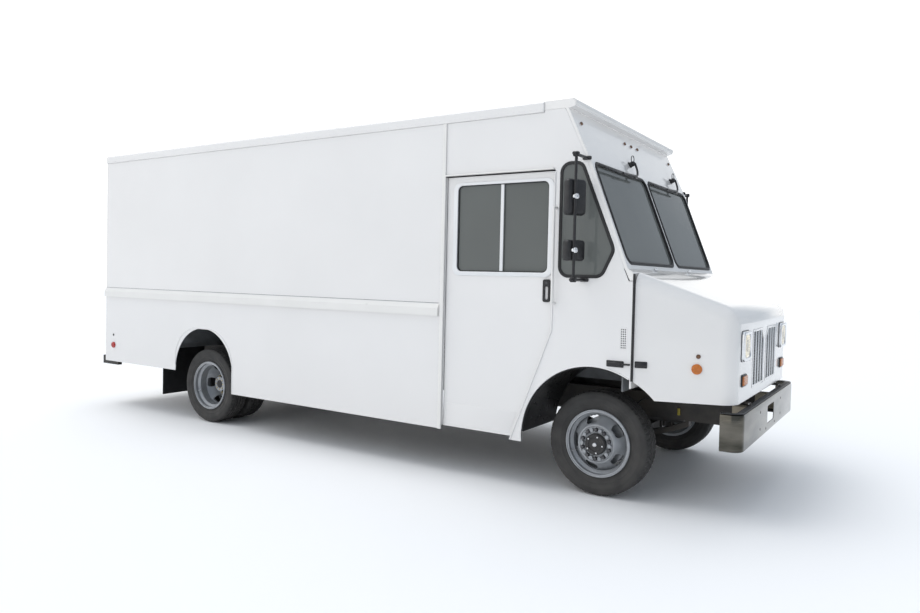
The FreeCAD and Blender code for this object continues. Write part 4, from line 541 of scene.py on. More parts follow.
def tyre_profile():
    """The tyre's section, from one bead over the tread to the other and back inside."""
    wall = [(0.0850, 0.2485), (0.0880, 0.258), (0.0915, 0.266), (0.0905, 0.270), (0.0960, 0.282),
            (0.1015, 0.300), (0.1045, 0.303), (0.1060, 0.312), (0.1050, 0.315), (0.1095, 0.332),
            (0.1125, 0.346), (0.1128, 0.352), (0.1108, 0.356), (0.1105, 0.366), (0.1075, 0.380),
            (0.1020, 0.3905), (0.0965, 0.3960), (TREAD_HALF, 0.3995)]
    tread = [(0.078, 0.4022)]
    for middle in GROOVES:
        tread += [(middle + 0.006, 0.4042), (middle + 0.004, 0.3930), (middle - 0.004, 0.3930),
                  (middle - 0.006, 0.4046)]
    half = wall + tread + [(0.006, 0.4049)]
    inside = [(0.092, 0.376), (0.098, 0.350), (0.086, 0.300), (0.072, 0.266), (0.072, 0.2485)]
    full = half + [(-a, r) for a, r in reversed(half)]
    return full + [(-a, r) for a, r in reversed(inside)] + inside + [half[0]]


def tread_ripple(number, step, across, radius):
    """Cross cuts in the shoulder and centre ribs, staggered from side to side."""
    if radius < 0.3985:
        return radius
    phase = (step + (2 if across < 0 else 0)) % 4
    if abs(across) > 0.060 and phase == 0:
        return radius - 0.0075
    if 0.02 < abs(across) < 0.050 and (step + 1) % 4 == 0:
        return radius - 0.0035
    return radius


def make_tyre(name, centre, side):
    """A road tyre with ribbed tread and stepped sidewalls."""
    return lathe(name, tyre_profile(), centre, side, 240, tread_ripple)


def circle(centre, radius, count, y, start=0.0):
    """Spots round a circle in the plane of a wheel."""
    return [(centre[0] + radius * math.sin(math.tau * (k + start) / count), y,
             centre[2] + radius * math.cos(math.tau * (k + start) / count)) for k in range(count)]


def wheels():
    """Tyres, nuts, hubs and rim trim on each wheel."""
    for word, side in SIDES.items():
        body = f"front_wheel_{word}"
        centre = Vector((AXLE_F, side * WHEEL_Y, AXLE_Z))
        finish(make_tyre(f"tyre_front_{word}", centre, side), TYRE, body, [f"front_tyre_{word}"], angle=30)
        face = WHEEL_Y + 0.112
        out = (0, side, 0)
        nuts = studs(f"front_nuts_{word}", circle(centre, NUT_CIRCLE, 10, side * (face - 0.001)), 0.0175,
                     0.031, out)
        finish(nuts, NUT, body)
        washers = studs(f"front_washers_{word}", circle(centre, NUT_CIRCLE, 10, side * (face - 0.001)),
                        0.0215, 0.005, out, 20)
        finish(washers, RIM, body)
        outline = [(-0.006, 0.0), (0.034, 0.0), (0.034, 0.026), (0.0315, 0.030), (0.0315, 0.050),
                   (0.036, 0.053), (0.036, 0.076), (0.030, 0.0815), (-0.006, 0.083)]
        step = [(across + face - WHEEL_Y, radius) for across, radius in outline]
        finish(lathe(f"front_hub_cap_{word}", step, centre, side, 64), HUB, body)
        bolts = studs(f"front_hub_bolts_{word}", circle(centre, 0.064, 5, side * (face + 0.0355), 0.3),
                      0.0085, 0.010, out)
        finish(bolts, BRIGHT, body)
        finish(studs(f"front_hub_stub_{word}", [(centre.x, side * (face + 0.034), centre.z)], 0.017, 0.012,
                     out, 24), BRIGHT, body)
        finish(lathe(f"front_rim_lip_{word}", RIM_LIP + RIM_LIP[:1], centre, side, 96), RIM, body)
        ridge = [(0.104, 0.149), (0.1145, 0.147), (0.1165, 0.143), (0.1165, 0.137), (0.1120, 0.133),
                 (0.104, 0.133)]
        finish(lathe(f"front_rim_ridge_{word}", ridge + ridge[:1], centre, side, 96), RIM, body)
        valve(f"front_valve_{word}", centre, side, 0.100, body)
        rear_wheel(word, side)


def valve(name, centre, side, out, body):
    """A bent valve stem at the rim's edge."""
    x, z = centre.x - 0.195, centre.z - 0.075
    start = Vector((x, centre.y + side * (out - 0.055), z))
    mid = Vector((x + 0.01, centre.y + side * (out - 0.02), z))
    end = Vector((x - 0.012, centre.y + side * (out + 0.012), z - 0.006))
    finish(tube(name, [start, mid, end], 0.0045, 0.01), BRIGHT, body)


def rear_wheel(word, side):
    """The dual rear wheel's tyres, studs and hub."""
    body = f"rear_wheel_{word}"
    outer, inner = high("rear_tyres_left").y - TYRE_HALF, low("rear_tyres_left").y + TYRE_HALF
    centres = [Vector((AXLE_R, side * y, AXLE_Z)) for y in (outer, inner)]
    pair = [make_tyre(f"tyre_{word}_{n}", c, side) for n, c in enumerate(centres)]
    finish(joined(f"tyres_rear_{word}", pair), TYRE, body, [f"rear_tyres_{word}"], angle=30)
    centre = centres[0]
    face = outer - 0.130
    out = (0, side, 0)
    finish(studs(f"rear_nuts_{word}", circle(centre, NUT_CIRCLE, 10, side * face, 0.5), 0.0175, 0.029, out),
           BRASS, body)
    back = face - outer
    outline = [(-0.004, 0.0), (0.094, 0.0), (0.094, 0.040), (0.088, 0.046), (0.088, 0.070), (0.082, 0.081),
               (0.004, 0.083), (-0.004, 0.086)]
    cap = [(back + across, radius) for across, radius in outline]
    finish(lathe(f"rear_hub_cap_{word}", cap, centre, side, 64), HUB, body)
    finish(studs(f"rear_hub_bolts_{word}", circle(centre, 0.060, 8, side * (face + 0.087)), 0.0085, 0.009,
                 out), BRASS, body)
    finish(lathe(f"rear_rim_lip_{word}", RIM_LIP + RIM_LIP[:1], centre, side, 96), RIM, body)
    valve(f"rear_valve_{word}", centre, side, 0.075, body)


# Front end

def hood_width(x):
    """Half the hood's width at an x."""
    back, front = low("hood").x, HOOD_X
    return FLANK_REAR + (FLANK_FRONT - FLANK_REAR) * (x - back) / (front - back)


def hood():
    """The tilting hood: broad soft shoulders, a rolled nose, wheel arches and a grille opening."""
    back, front = low("hood").x, HOOD_X
    bottom, top_back, top_front = HOOD_BOTTOM, high("hood").z, 1.470
    shape = bmesh.new()
    corners = {}
    for end, x, top in (("b", back - 0.05, top_back + 0.019), ("f", front, top_front)):
        half = hood_width(x)
        for side in (-1, 1):
            corners[end, side, 0] = shape.verts.new((x, side * half, bottom - 0.05))
            corners[end, side, 1] = shape.verts.new((x, side * half, top))
    c = corners
    shape.faces.new((c["f", -1, 0], c["f", 1, 0], c["f", 1, 1], c["f", -1, 1]))
    shape.faces.new((c["b", -1, 0], c["b", -1, 1], c["b", 1, 1], c["b", 1, 0]))
    shape.faces.new((c["b", -1, 1], c["f", -1, 1], c["f", 1, 1], c["b", 1, 1]))
    shape.faces.new((c["b", -1, 0], c["f", -1, 0], c["f", -1, 1], c["b", -1, 1]))
    shape.faces.new((c["b", 1, 0], c["b", 1, 1], c["f", 1, 1], c["f", 1, 0]))
    shape.faces.new((c["b", -1, 0], c["b", 1, 0], c["f", 1, 0], c["f", -1, 0]))
    chosen = []
    for edge in shape.edges:
        a, b = edge.verts
        middle = (a.co + b.co) / 2
        along_top = abs(a.co.z - b.co.z) < 0.5 and middle.z > 1.3 and abs(middle.y) > 0.5
        nose_top = middle.x > front - 0.01 and middle.z > 1.3 and abs(middle.y) < 0.1
        nose_side = middle.x > front - 0.01 and abs(a.co.z - b.co.z) > 0.5
        if along_top or nose_top or nose_side:
            chosen.append(edge)
    bmesh.ops.bevel(shape, geom=chosen, offset=0.100, segments=9, affect="EDGES", profile=0.5,
                    clamp_overlap=False)
    outer = from_bmesh("hood_skin", shape)
    inner = outer.copy()
    inner.data = outer.data.copy()
    link(inner)
    middle = Vector(((back + front) / 2, 0, 1.2))
    inner.data.transform(Matrix.Translation((-0.20, 0, -0.20)) @ Matrix.Translation(middle)
                         @ Matrix.Diagonal((1.0 + 0.37 / (front - back), 0.9885, 1.0, 1))
                         @ Matrix.Translation(-middle))
    inner.data.transform(Matrix.Translation((0.0, 0, 0.186)))
    cuts = [inner, block("open_back", (back - 1, -2, 0), (back, 2, 3), 0.0001, 1),
            block("open_under", (back - 1, -2, 0), (front + 1, 2, bottom), 0.0001, 1),
            lathe("arch_tool", [(-1.5, 0.0), (-1.5, ARCH_RADIUS), (1.5, ARCH_RADIUS), (1.5, 0.0)],
                  (FRONT_ARCH[0], 0, FRONT_ARCH[1]), 1, 128)]
    for side in (-1, 1):
        opening = wound([Vector((side * y, z)) for y, z in grille_outline(0.0)], True)
        cuts.append(prism(f"grille_tool_{side}", opening, on_front(front - 0.2), 0.4))
    skin = carved(outer, *cuts)
    finish(skin, PAINT_WARM, "hood", ["hood"], angle=30)
    for word, side in SIDES.items():
        hood_side_details(word, side)


def grille_outline(grow):
    """One grille half, its inner top corner cut off."""
    return [(0.034 - grow, 0.872 - grow), (0.466 + grow, 0.872 - grow), (0.466 + grow, 1.318 + grow),
            (0.105 - grow, 1.318 + grow), (0.034 - grow, 1.235 + grow)]


def grille():
    """Two grille halves: bright bars with dark toothed slots between them."""
    front = HOOD_X
    bars, teeth, rims = [], [], []
    for side in (-1, 1):
        loop = [(side * y, z) for y, z in grille_outline(-0.001)]
        hole = [(side * y, z) for y, z in grille_outline(-0.020)]
        rims.append(plate(f"grille_rim_{side}", loop, [hole], on_front(front - 0.014), 0.017, 0.002))
        for number in range(5):
            y = 0.055 + number * 0.098
            top = 1.300 if y > 0.1 else 1.245
            half = 0.0115
            lo = (front - 0.012, min(side * (y - half), side * (y + half)), 0.888)
            hi = (front + 0.004, max(side * (y - half), side * (y + half)), top)
            bars.append(block(f"grille_bar_{side}_{number}", lo, hi, 0.004, 2))
        for row in range(34):
            z = 0.893 + row * 0.0122
            near = 0.045 if z < 1.235 else 0.100
            lo = (front - 0.011, min(side * near, side * 0.452), z)
            hi = (front - 0.003, max(side * near, side * 0.452), z + 0.0048)
            teeth.append(block(f"grille_tooth_{side}_{row}", lo, hi, 0.001, 1))
    finish(joined("grille_surround", rims), PAINT_WARM, "hood", ["grille"])
    finish(joined("grille_bars", bars), ALLOY, "hood")
    finish(joined("grille_teeth", teeth), HUB, "hood")
    back = block("grille_shadow", (front - 0.030, -0.470, 0.868), (front - 0.024, 0.470, 1.322), 0.001, 1)
    finish(back, LINER, "hood")


def front_lamps():
    """Square headlamps in chrome bezels over amber turn signals."""
    front = HOOD_X
    first = True
    for word, side in SIDES.items():
        y, z = side * 0.746, 1.213
        outer = rounded(rectangle(y - 0.120, z - 0.108, y + 0.120, z + 0.108), 0.030)
        inner = rounded(rectangle(y - 0.092, z - 0.080, y + 0.092, z + 0.080), 0.022)
        bezel = plate(f"headlamp_bezel_{word}", outer, [inner], on_front(front - 0.003), 0.029, 0.007, 3)
        finish(bezel, CHROME, "hood", ["front_lamps"] if first else [])
        first = False
        # A black ring a little larger than the bezel: painted shadow in the joint between bezel and hood.
        shadow = plate(f"headlamp_seat_{word}", rounded(rectangle(y - 0.124, z - 0.112, y + 0.124,
                                                                  z + 0.112), 0.034), [],
                       on_front(front - 0.002), 0.006, 0.002)
        finish(shadow, BLACK, "hood")
        bowl = [(0.0, 0.012), (0.006, 0.030), (0.014, 0.060), (0.020, 0.084), (0.017, 0.084),
                (0.010, 0.060), (0.002, 0.030), (-0.003, 0.012), (0.0, 0.012)]
        # The bowl's glow is painted light, not a lit lamp.
        finish(lathe(f"headlamp_bowl_{word}", bowl, (front + 0.002, y, z), 1, 48, axis="X"), REFLECTOR_PAINTED_GLOW, "hood")
        lens = plate(f"headlamp_lens_{word}", inner, [], on_front(front + 0.012), 0.010, 0.004, 3)
        finish(lens, LENS, "hood")
        flutes = [block(f"flute_{word}_{n}", (front + 0.0195, y - 0.080 + n * 0.040, z - 0.070),
                        (front + 0.0225, y - 0.068 + n * 0.040, z + 0.070), 0.0014, 2) for n in range(4)]
        finish(joined(f"headlamp_flutes_{word}", flutes), LENS, "hood")
        y, z = side * 0.762, 0.963
        outer = rounded(rectangle(y - 0.080, z - 0.044, y + 0.080, z + 0.044), 0.018)
        inner = rounded(rectangle(y - 0.070, z - 0.034, y + 0.070, z + 0.034), 0.012)
        finish(plate(f"signal_frame_{word}", outer, [inner], on_front(front - 0.003), 0.013, 0.004), BLACK,
               "hood")
        finish(plate(f"signal_lens_{word}", inner, [], on_front(front - 0.002), 0.020, 0.005, 3), AMBER,
               "hood")
        ribs = [block(f"signal_rib_{word}_{n}", (front + 0.016, y - 0.056, z - 0.026 + n * 0.014),
                      (front + 0.0195, y + 0.056, z - 0.021 + n * 0.014), 0.0015, 1) for n in range(4)]
        finish(joined(f"signal_ribs_{word}", ribs), AMBER, "hood")


def hood_point(x, z, side, out=0.0):
    """A place on the hood's flank, and the flank's outward direction."""
    slope = (FLANK_REAR - FLANK_FRONT) / (HOOD_X - low("hood").x)
    normal = Vector((slope, side, 0)).normalized()
    return Vector((x, side * hood_width(x), z)) + normal * out, normal


def disc(name, spot, normal, radius, height, paint, body, rings=3):
    """A lens that stands off a surface, domed, with rings moulded in it."""
    profile = [(-0.004, 0.0), (-0.004, radius), (height * 0.6, radius), (height * 0.8, radius * 0.96)]
    for step in range(rings):
        size = radius * (0.9 - 0.8 * step / rings)
        profile += [(height, size), (height * 0.86, size - radius * 0.06)]
    profile += [(height, radius * 0.08), (height, 0.0)]
    obj = lathe(name, profile, (0, 0, 0), 1, 40, axis="Z")
    turn = Vector((0, 0, 1)).rotation_difference(normal).to_matrix().to_4x4()
    obj.data.transform(Matrix.Translation(spot) @ turn)
    return finish(obj, paint, body, angle=50)


def hood_side_details(word, side):
    """Side marker, small reflector and the hood's rubber latch."""
    spot, normal = hood_point(3.482, 1.050, side)
    disc(f"side_marker_{word}", spot, normal, 0.037, 0.014, AMBER, "hood")
    spot, normal = hood_point(3.490, 1.140, side)
    disc(f"side_reflector_{word}", spot, normal, 0.016, 0.008, DARK_AMBER, "hood", 1)
    for name, x, size, body in (("catch", 3.116, 0.044, "hood"), ("hook", 2.932, 0.066, "van")):
        spot = hood_point(x, 1.060, side)[0] if body == "hood" else Vector((x, side * SIDE_Y, 1.055))
        normal = hood_point(x, 1.06, side)[1] if body == "hood" else Vector((0, side, 0))
        turn = Matrix.Rotation(math.atan2(-normal.x * side, normal.y * side), 4, "Z")
        pieces = [
            block(f"latch_pad_{name}", (-size, -0.004, -0.024), (size, 0.010, 0.024), 0.008, 3),
            block(f"latch_grip_{name}", (-size * 0.8, 0.006, -0.013), (size * 0.8, 0.024, 0.013), 0.009, 3),
        ]
        obj = joined(f"latch_{name}_{word}", pieces)
        flip = Matrix.Diagonal((1, side, 1, 1))
        obj.data.transform(Matrix.Translation(spot) @ turn @ flip)
        finish(obj, BLACK, body)
    finish(tube(f"latch_bar_{word}", [(2.985, side * (SIDE_Y + 0.014), 1.056),
                                      (3.048, side * (SIDE_Y + 0.014), 1.058)], 0.007, 0.01), BLACK)


def bumper_path(inset):
    """The bumper's plan, from one wrapped end round the front to the other."""
    front, half = high("front_bumper").x - inset, high("front_bumper").y - inset
    back = low("hood").x + 0.585
    points = [Vector((back, -half, 0)), Vector((front, -half, 0)), Vector((front, half, 0)),
              Vector((back, half, 0))]
    path = [points[0]]
    radius = 0.085 - inset
    for number in (1, 2):
        here = points[number]
        a = (points[number - 1] - here).normalized()
        b = (points[number + 1] - here).normalized()
        centre = here + (a + b) * radius
        for step in range(11):
            t = step / 10
            way = (-b * math.cos(t * math.pi / 2) - a * math.sin(t * math.pi / 2)) * radius
            path.append(centre + way)
    path.append(points[3])
    return path


def bumper():
    """A polished pressed bumper with wrapped ends, a dark top tread and a plate opening."""
    lo, hi = low("front_bumper").z, 0.757
    section = [(0.030, lo + 0.004), (0.012, lo), (0.003, lo + 0.004), (0.0, lo + 0.016), (0.0, hi - 0.018),
               (0.003, hi - 0.006), (0.012, hi), (0.058, hi)]
    skin = swept("bumper_face", section)
    thick = skin.modifiers.new("thick", "SOLIDIFY")
    thick.thickness = 0.005
    thick.offset = -1
    skin = frozen(skin)
    front = high("front_bumper").x
    tool = plate("plate_hole", rounded(rectangle(-0.150, 0.560, 0.120, 0.700), 0.020), [],
                 on_front(front - 0.03), 0.06)
    holes = [lathe(f"bolt_hole_{n}", [(-0.03, 0.0), (-0.03, 0.011), (0.03, 0.011), (0.03, 0.0)],
                   (front, y, z), 1, 20, axis="X") for n,
             (y, z) in enumerate(((-0.43, 0.56), (-0.43, 0.69), (0.43, 0.56), (0.43, 0.69), (-0.20, 0.53),
                                  (0.17, 0.53)))]
    skin = carved(skin, tool, *holes)
    # The bumper skin's dark colour is painted reflection, not the chrome's own tone.
    finish(skin, CHROME_PAINTED_REFLECTION, replaced=["front_bumper"], angle=35)
    tread = swept("bumper_tread", [(0.004, hi + 0.001), (0.008, hi + 0.006), (0.052, hi + 0.006),
                                   (0.056, hi + 0.001)])
    finish(tread, BLACK)
    ridges = [block(f"tread_rib_{n}", (front - 0.050, -0.95 + n * 0.05, hi + 0.004),
                    (front - 0.012, -0.93 + n * 0.05, hi + 0.009), 0.002, 1) for n in range(39)]
    finish(joined("bumper_tread_ribs", ridges), BLACK)
    for word, side in SIDES.items():
        arm = block(f"bumper_arm_{word}", (3.600, side * 0.430 - 0.042, 0.566),
                    (front - 0.010, side * 0.430 + 0.042, 0.724), 0.006)
        finish(arm, BEIGE)
        lug = block(f"hinge_lug_{word}", (3.745, side * 0.631 - 0.007, hi - 0.006),
                    (3.765, side * 0.631 + 0.007, 0.788), 0.004)
        finish(lug, CHASSIS)
        ear = block(f"hood_ear_{word}", (3.692, side * 0.613 - 0.009, 0.769),
                    (3.764, side * 0.613 + 0.009, 0.787), 0.004)
        tab = block(f"hood_tab_{word}", (3.692, side * 0.613 - 0.009, 0.769),
                    (3.724, side * 0.613 + 0.009, 0.862), 0.004)
        finish(joined(f"hood_hinge_{word}", [ear, tab]), CHASSIS, "hood")
        pin = studs(f"hinge_pin_{word}", [(3.755, side * 0.601, 0.778)], 0.0065, 0.042, (0, side, 0), 20)
        finish(pin, BRIGHT)
    tow = joined("tow_hooks",
                 [tube(f"tow_{s}", [(3.700, s * 0.30, 0.60), (3.788, s * 0.30, 0.60),
                                    (3.788, s * 0.24, 0.60), (3.700, s * 0.24, 0.60)], 0.010, 0.02)
                  for s in (-1, 1)])
    finish(tow, CHASSIS)


def swept(name, section):
    """A section of (inset, height) carried round the bumper's path."""
    rows = [[Vector((p.x, p.y, z)) for p in bumper_path(inset)] for inset, z in section]
    shape = bmesh.new()
    grid = [[shape.verts.new(p) for p in row] for row in rows]
    for a, b in zip(grid, grid[1:]):
        for number in range(len(a) - 1):
            shape.faces.new((a[number], a[number + 1], b[number + 1], b[number]))
    return from_bmesh(name, shape)


# Cab outside

def screen_place(lift=0.0):
    """The windscreen plane: local x across the van, local y up the glass, local z outward."""
    rake = math.atan2(SCREEN_LOW[0] - SCREEN_TOP[0], SCREEN_TOP[1] - SCREEN_LOW[1])
    up = Vector((-math.sin(rake), 0, math.cos(rake)))
    out = Vector((math.cos(rake), 0, math.sin(rake)))
    base = Vector((SCREEN_TOP[0], 0, SCREEN_TOP[1])) + out * lift
    return Matrix(((0, up.x, out.x, base.x), (1, up.y, out.y, base.y), (0, up.z, out.z, base.z),
                   (0, 0, 0, 1)))


def cab_outside():
    """Hood seals, vents, washer nozzles, the visor roll and the header lamps."""
    for word, side in SIDES.items():
        strip = plate(f"hood_seal_{word}", rounded(rectangle(3.050, 0.935, 3.066, 1.716), 0.006), [],
                      on_side(SIDE_Y + 0.003 if side > 0 else -SIDE_Y + 0.012), 0.015, 0.003)
        finish(strip, RUBBER)
        slats = []
        for row in range(9):
            for column in range(3):
                x, z = 2.972 + column * 0.014, 1.172 + row * 0.0165
                slats.append(block(f"slat_{row}_{column}", (x, side * SIDE_Y - 0.002, z),
                                   (x + 0.008, side * SIDE_Y + 0.002, z + 0.009), 0.0015, 1))
        finish(joined(f"vent_slots_{word}", slats), BLACK)
        frame_ = plate(f"vent_frame_{word}", rounded(rectangle(2.964, 1.162, 3.018, 1.328), 0.008),
                       [rounded(rectangle(2.969, 1.167, 3.013, 1.323), 0.006)],
                       on_side(side * SIDE_Y + (0.002 if side > 0 else 0.001)), 0.003, 0.001)
        finish(frame_, PAINT)
        edge_trim(word, side)
    nozzles = []
    for y in (-0.60, 0.33):
        nozzles.append(block(f"nozzle_foot_{y}", (3.006, y - 0.030, 1.748), (3.034, y + 0.030, 1.760),
                             0.005))
        nozzles.append(block(f"nozzle_head_{y}", (3.012, y - 0.020, 1.756), (3.030, y + 0.004, 1.772),
                             0.006))
    finish(joined("washer_nozzles", nozzles), CHROME)
    roll = [Vector((2.541, y, 3.004)) for y in (-1.196, 1.196)]
    finish(tube("visor_roll", roll, 0.031, 0.01), TRIM)
    for word, side in SIDES.items():
        disc(f"visor_end_{word}", Vector((2.541, side * 1.196, 3.004)), Vector((0, side, 0)), 0.031, 0.012,
             TRIM, "van", 1)
    slope = (SCREEN_TOP[0] - 2.545) / (2.890 - SCREEN_TOP[1])
    out = Vector((1, 0, slope)).normalized()
    for number, y in enumerate((-1.09, -0.16, 0.0, 0.16, 1.09)):
        spot = Vector((2.545 + (2.890 - 2.860) * slope, y, 2.860))
        disc(f"clearance_lamp_{number}", spot, out, 0.014, 0.012, DARK_AMBER, "van", 1)


def arch_point(radius, way, y):
    """A place at an angle round the front wheel arch."""
    return FRONT_ARCH[0] + radius * math.cos(way), y, FRONT_ARCH[1] + radius * math.sin(way)


def edge_trim(word, side):
    """Thin joints and capping strips along the cab's side."""
    y = side * SIDE_Y
    lo, hi = sorted((y - 0.001, y + side * 0.0015))
    seams = [block(f"sill_rail_{word}", (2.060, lo, 0.372), (2.075, hi + (0.004 if side > 0 else 0), 0.400),
                   0.001, 1)]
    finish(joined(f"side_joints_{word}", seams), FLOOR_GREY)
    cap = [(2.4805, 2.960), (2.6705, 2.558), (2.9805, 1.752)]
    finish(tube(f"cap_seam_{word}", [(x, side * (SIDE_Y - 0.003), z) for x, z in cap], 0.004, 0.02), PAINT)
    door = [(2.412, 2.490), (2.412, 1.270), (2.069, 0.378)]
    finish(tube(f"door_edge_{word}", [(x, side * (SIDE_Y + 0.001), z) for x, z in door], 0.007, 0.02),
           PAINT)
    arch = []
    for step in range(41):
        way = math.radians(176 - step * 2.86)
        arch.append(arch_point(ARCH_RADIUS + 0.002, way, side * (SIDE_Y - 0.002)))
    finish(tube(f"arch_lip_{word}", arch, 0.0065, 0.005, 2), PAINT)


def door_windows():
    """Alloy frames and seals round the sliding windows, and the handles."""
    for word, side in SIDES.items():
        body = f"cab_door_{word}"
        out = high("cab_door_left").y
        place = on_side(out + 0.008 if side > 0 else -out + 0.004)
        outer = rounded(rectangle(1.469, 1.678, 2.398, 2.448), 0.062)
        inner = rounded(rectangle(1.512, 1.712, 2.354, 2.424), 0.045)
        finish(plate(f"window_frame_{word}", outer, [inner], place, 0.012, 0.003, 3), ALLOY, body)
        rim = rounded(rectangle(1.506, 1.702, 2.364, 2.438), 0.050)
        mouth = rounded(rectangle(1.522, 1.720, 2.346, 2.418), 0.038)
        finish(plate(f"window_seal_{word}", rim, [mouth], on_side(out - 0.002 if side > 0
                                                                  else -out + 0.010), 0.008, 0.002), RUBBER,
               body)
        middle = block(f"window_divider_{word}", (1.919, side * out - (0.012 if side > 0 else -0.004),
                                                  1.716), (1.949,
                                                           side * out - (0.004 if side > 0 else -0.012),
                                                           2.420), 0.003)
        finish(middle, ALLOY, body)
        edge = block(f"slide_edge_{word}", (1.915, side * 1.1685 - 0.0055, 1.716),
                     (1.940, side * 1.1685 + 0.0045, 2.424), 0.002)
        finish(edge, ALLOY, f"sliding_pane_{word}")
        tab = block(f"slide_tab_{word}", (2.318, side * 1.160 - 0.006, 2.030),
                    (2.338, side * 1.160 + 0.006, 2.110), 0.003)
        finish(tab, BLACK, f"sliding_pane_{word}")
        handle(word, side)
        kick = plate(f"door_kick_{word}", rounded([(1.43, 0.42), (2.045, 0.42), (2.115, 0.60),
                                                   (1.43, 0.60)], 0.012), [],
                     on_side(out + 0.0015 if side > 0 else -out + 0.0005), 0.002, 0.0008)
        finish(kick, PAINT, body)
        ys = reach(side, 1.1985, 1.1998)
        jamb = block(f"door_jamb_{word}", (1.3815, ys[0], 0.404), (1.406, ys[1], 2.500), 0.0004, 1)
        finish(jamb, PAINT)
        seal = tube(f"door_seal_{word}", [(2.4065, side * (out - 0.010), 2.455),
                                          (2.4065, side * (out - 0.010), 1.272),
                                          (2.062, side * (out - 0.010), 0.404)], 0.004, 0.02)
        finish(seal, RUBBER, body)


def handle(word, side):
    """A black pull handle with a scooped grip and a key barrel."""
    node = f"door_handle_{word}"
    lo, hi = low(node), high(node)
    near = 1.1922
    ys = reach(side, near, near + 0.0138)
    shape = rounded([(lo.x, lo.z), (hi.x, lo.z), (hi.x, hi.z), (lo.x, hi.z)], 0.016)
    slot_ = rounded(rectangle(lo.x + 0.018, lo.z + 0.020, hi.x - 0.018, hi.z - 0.055), 0.010)
    body = plate(f"handle_body_{word}", shape, [slot_], on_side(ys[1]), ys[1] - ys[0], 0.004, 3)
    finish(body, BLACK, node, [node])
    lock = studs(f"handle_lock_{word}", [((lo.x + hi.x) / 2, side * (near + 0.012), hi.z - 0.028)], 0.010,
                 0.004, (0, side, 0), 24)
    finish(lock, NUT, node)


def mirrors():
    """Mirror heads with crowned housings, glass, clamps and the tube's end caps."""
    yaw = math.radians(30)
    for word, side in SIDES.items():
        for node, tall, label in ((f"mirror_{word}", 0.1325, "head"),
                                  (f"convex_mirror_{word}", 0.0775, "spot")):
            x, y = MIRROR_X, side * MIRROR_Y
            z = (low(node).z + high(node).z) / 2
            place = Matrix.Translation((x, y, z)) @ Matrix.Rotation(side * yaw, 4,
                                                                    "Z") @ Matrix.Diagonal((1, side, 1, 1))
            shell = mirror_shell(f"{label}_housing_{word}", tall)
            shell.data.transform(place)
            finish(weld(shell), BLACK, node, [node], angle=50)
            face = plate(f"{label}_glass_{word}",
                         rounded(rectangle(-0.108, -tall + 0.012, 0.044, tall - 0.012), 0.020), [],
                         on_front(-0.0725), 0.004, 0.001)
            face.data.transform(place)
            finish(weld(face), MIRROR, node)
            clamp = [block("clamp_a", (-0.024, -0.024, -0.014), (0.020, 0.022, 0.014), 0.007, 3),
                     block("clamp_b", (0.010, -0.012, -0.020), (0.026, 0.012, 0.020), 0.005, 2)]
            grip = joined(f"{label}_clamp_{word}", clamp)
            grip.data.transform(place)
            finish(weld(grip), CHROME, node)
            bolts = studs(f"{label}_bolts_{word}", [(0.026, 0.0, 0.012), (0.026, 0.0, -0.012)], 0.005,
                          0.006, (1, 0, 0))
            bolts.data.transform(place)
            finish(weld(bolts), BRIGHT, node)
        caps = [studs(f"arm_cap_{word}_{n}", [(MIRROR_X, side * 1.452, z)], 0.0125, 0.006, (0, side, 0), 20)
                for n, z in enumerate(MIRROR_FEET)]
        for n, z in enumerate(MIRROR_FEET):
            caps.append(block(f"arm_base_{word}_{n}", (2.636, min(side * SIDE_Y, side * (SIDE_Y + 0.014)),
                                                       z - 0.012), (2.708,
                                                                    max(side * SIDE_Y,
                                                                        side * (SIDE_Y + 0.014)),
                                                                    z + 0.012), 0.005))
            caps.append(block(f"arm_knuckle_{word}_{n}", (2.650, side * MIRROR_Y - 0.018, z - 0.018),
                              (2.694, side * MIRROR_Y + 0.018, z + 0.018), 0.008))
        finish(joined(f"mirror_fittings_{word}", caps), BLACK)


def mirror_shell(name, tall):
    """A rounded housing whose back is crowned, open side towards the rear."""
    shape = bmesh.new()
    rows = []
    for depth, grow in ((-0.069, 1.0), (-0.060, 1.0), (-0.040, 0.985), (-0.024, 0.93), (-0.015, 0.80)):
        half_y, half_z = 0.085 * grow, tall * (1 - (1 - grow) * 0.6)
        loop = rounded(rectangle(-half_y, -half_z, half_y, half_z), 0.026 * grow, 5)
        rows.append([shape.verts.new((depth, p.x - 0.033, p.y)) for p in loop])
    count = len(rows[0])
    for a, b in zip(rows, rows[1:]):
        for n in range(count):
            m = (n + 1) % count
            shape.faces.new((a[n], a[m], b[m], b[n]))
    shape.faces.new(rows[-1])
    shape.faces.new(rows[0][::-1])
    return from_bmesh(name, shape)


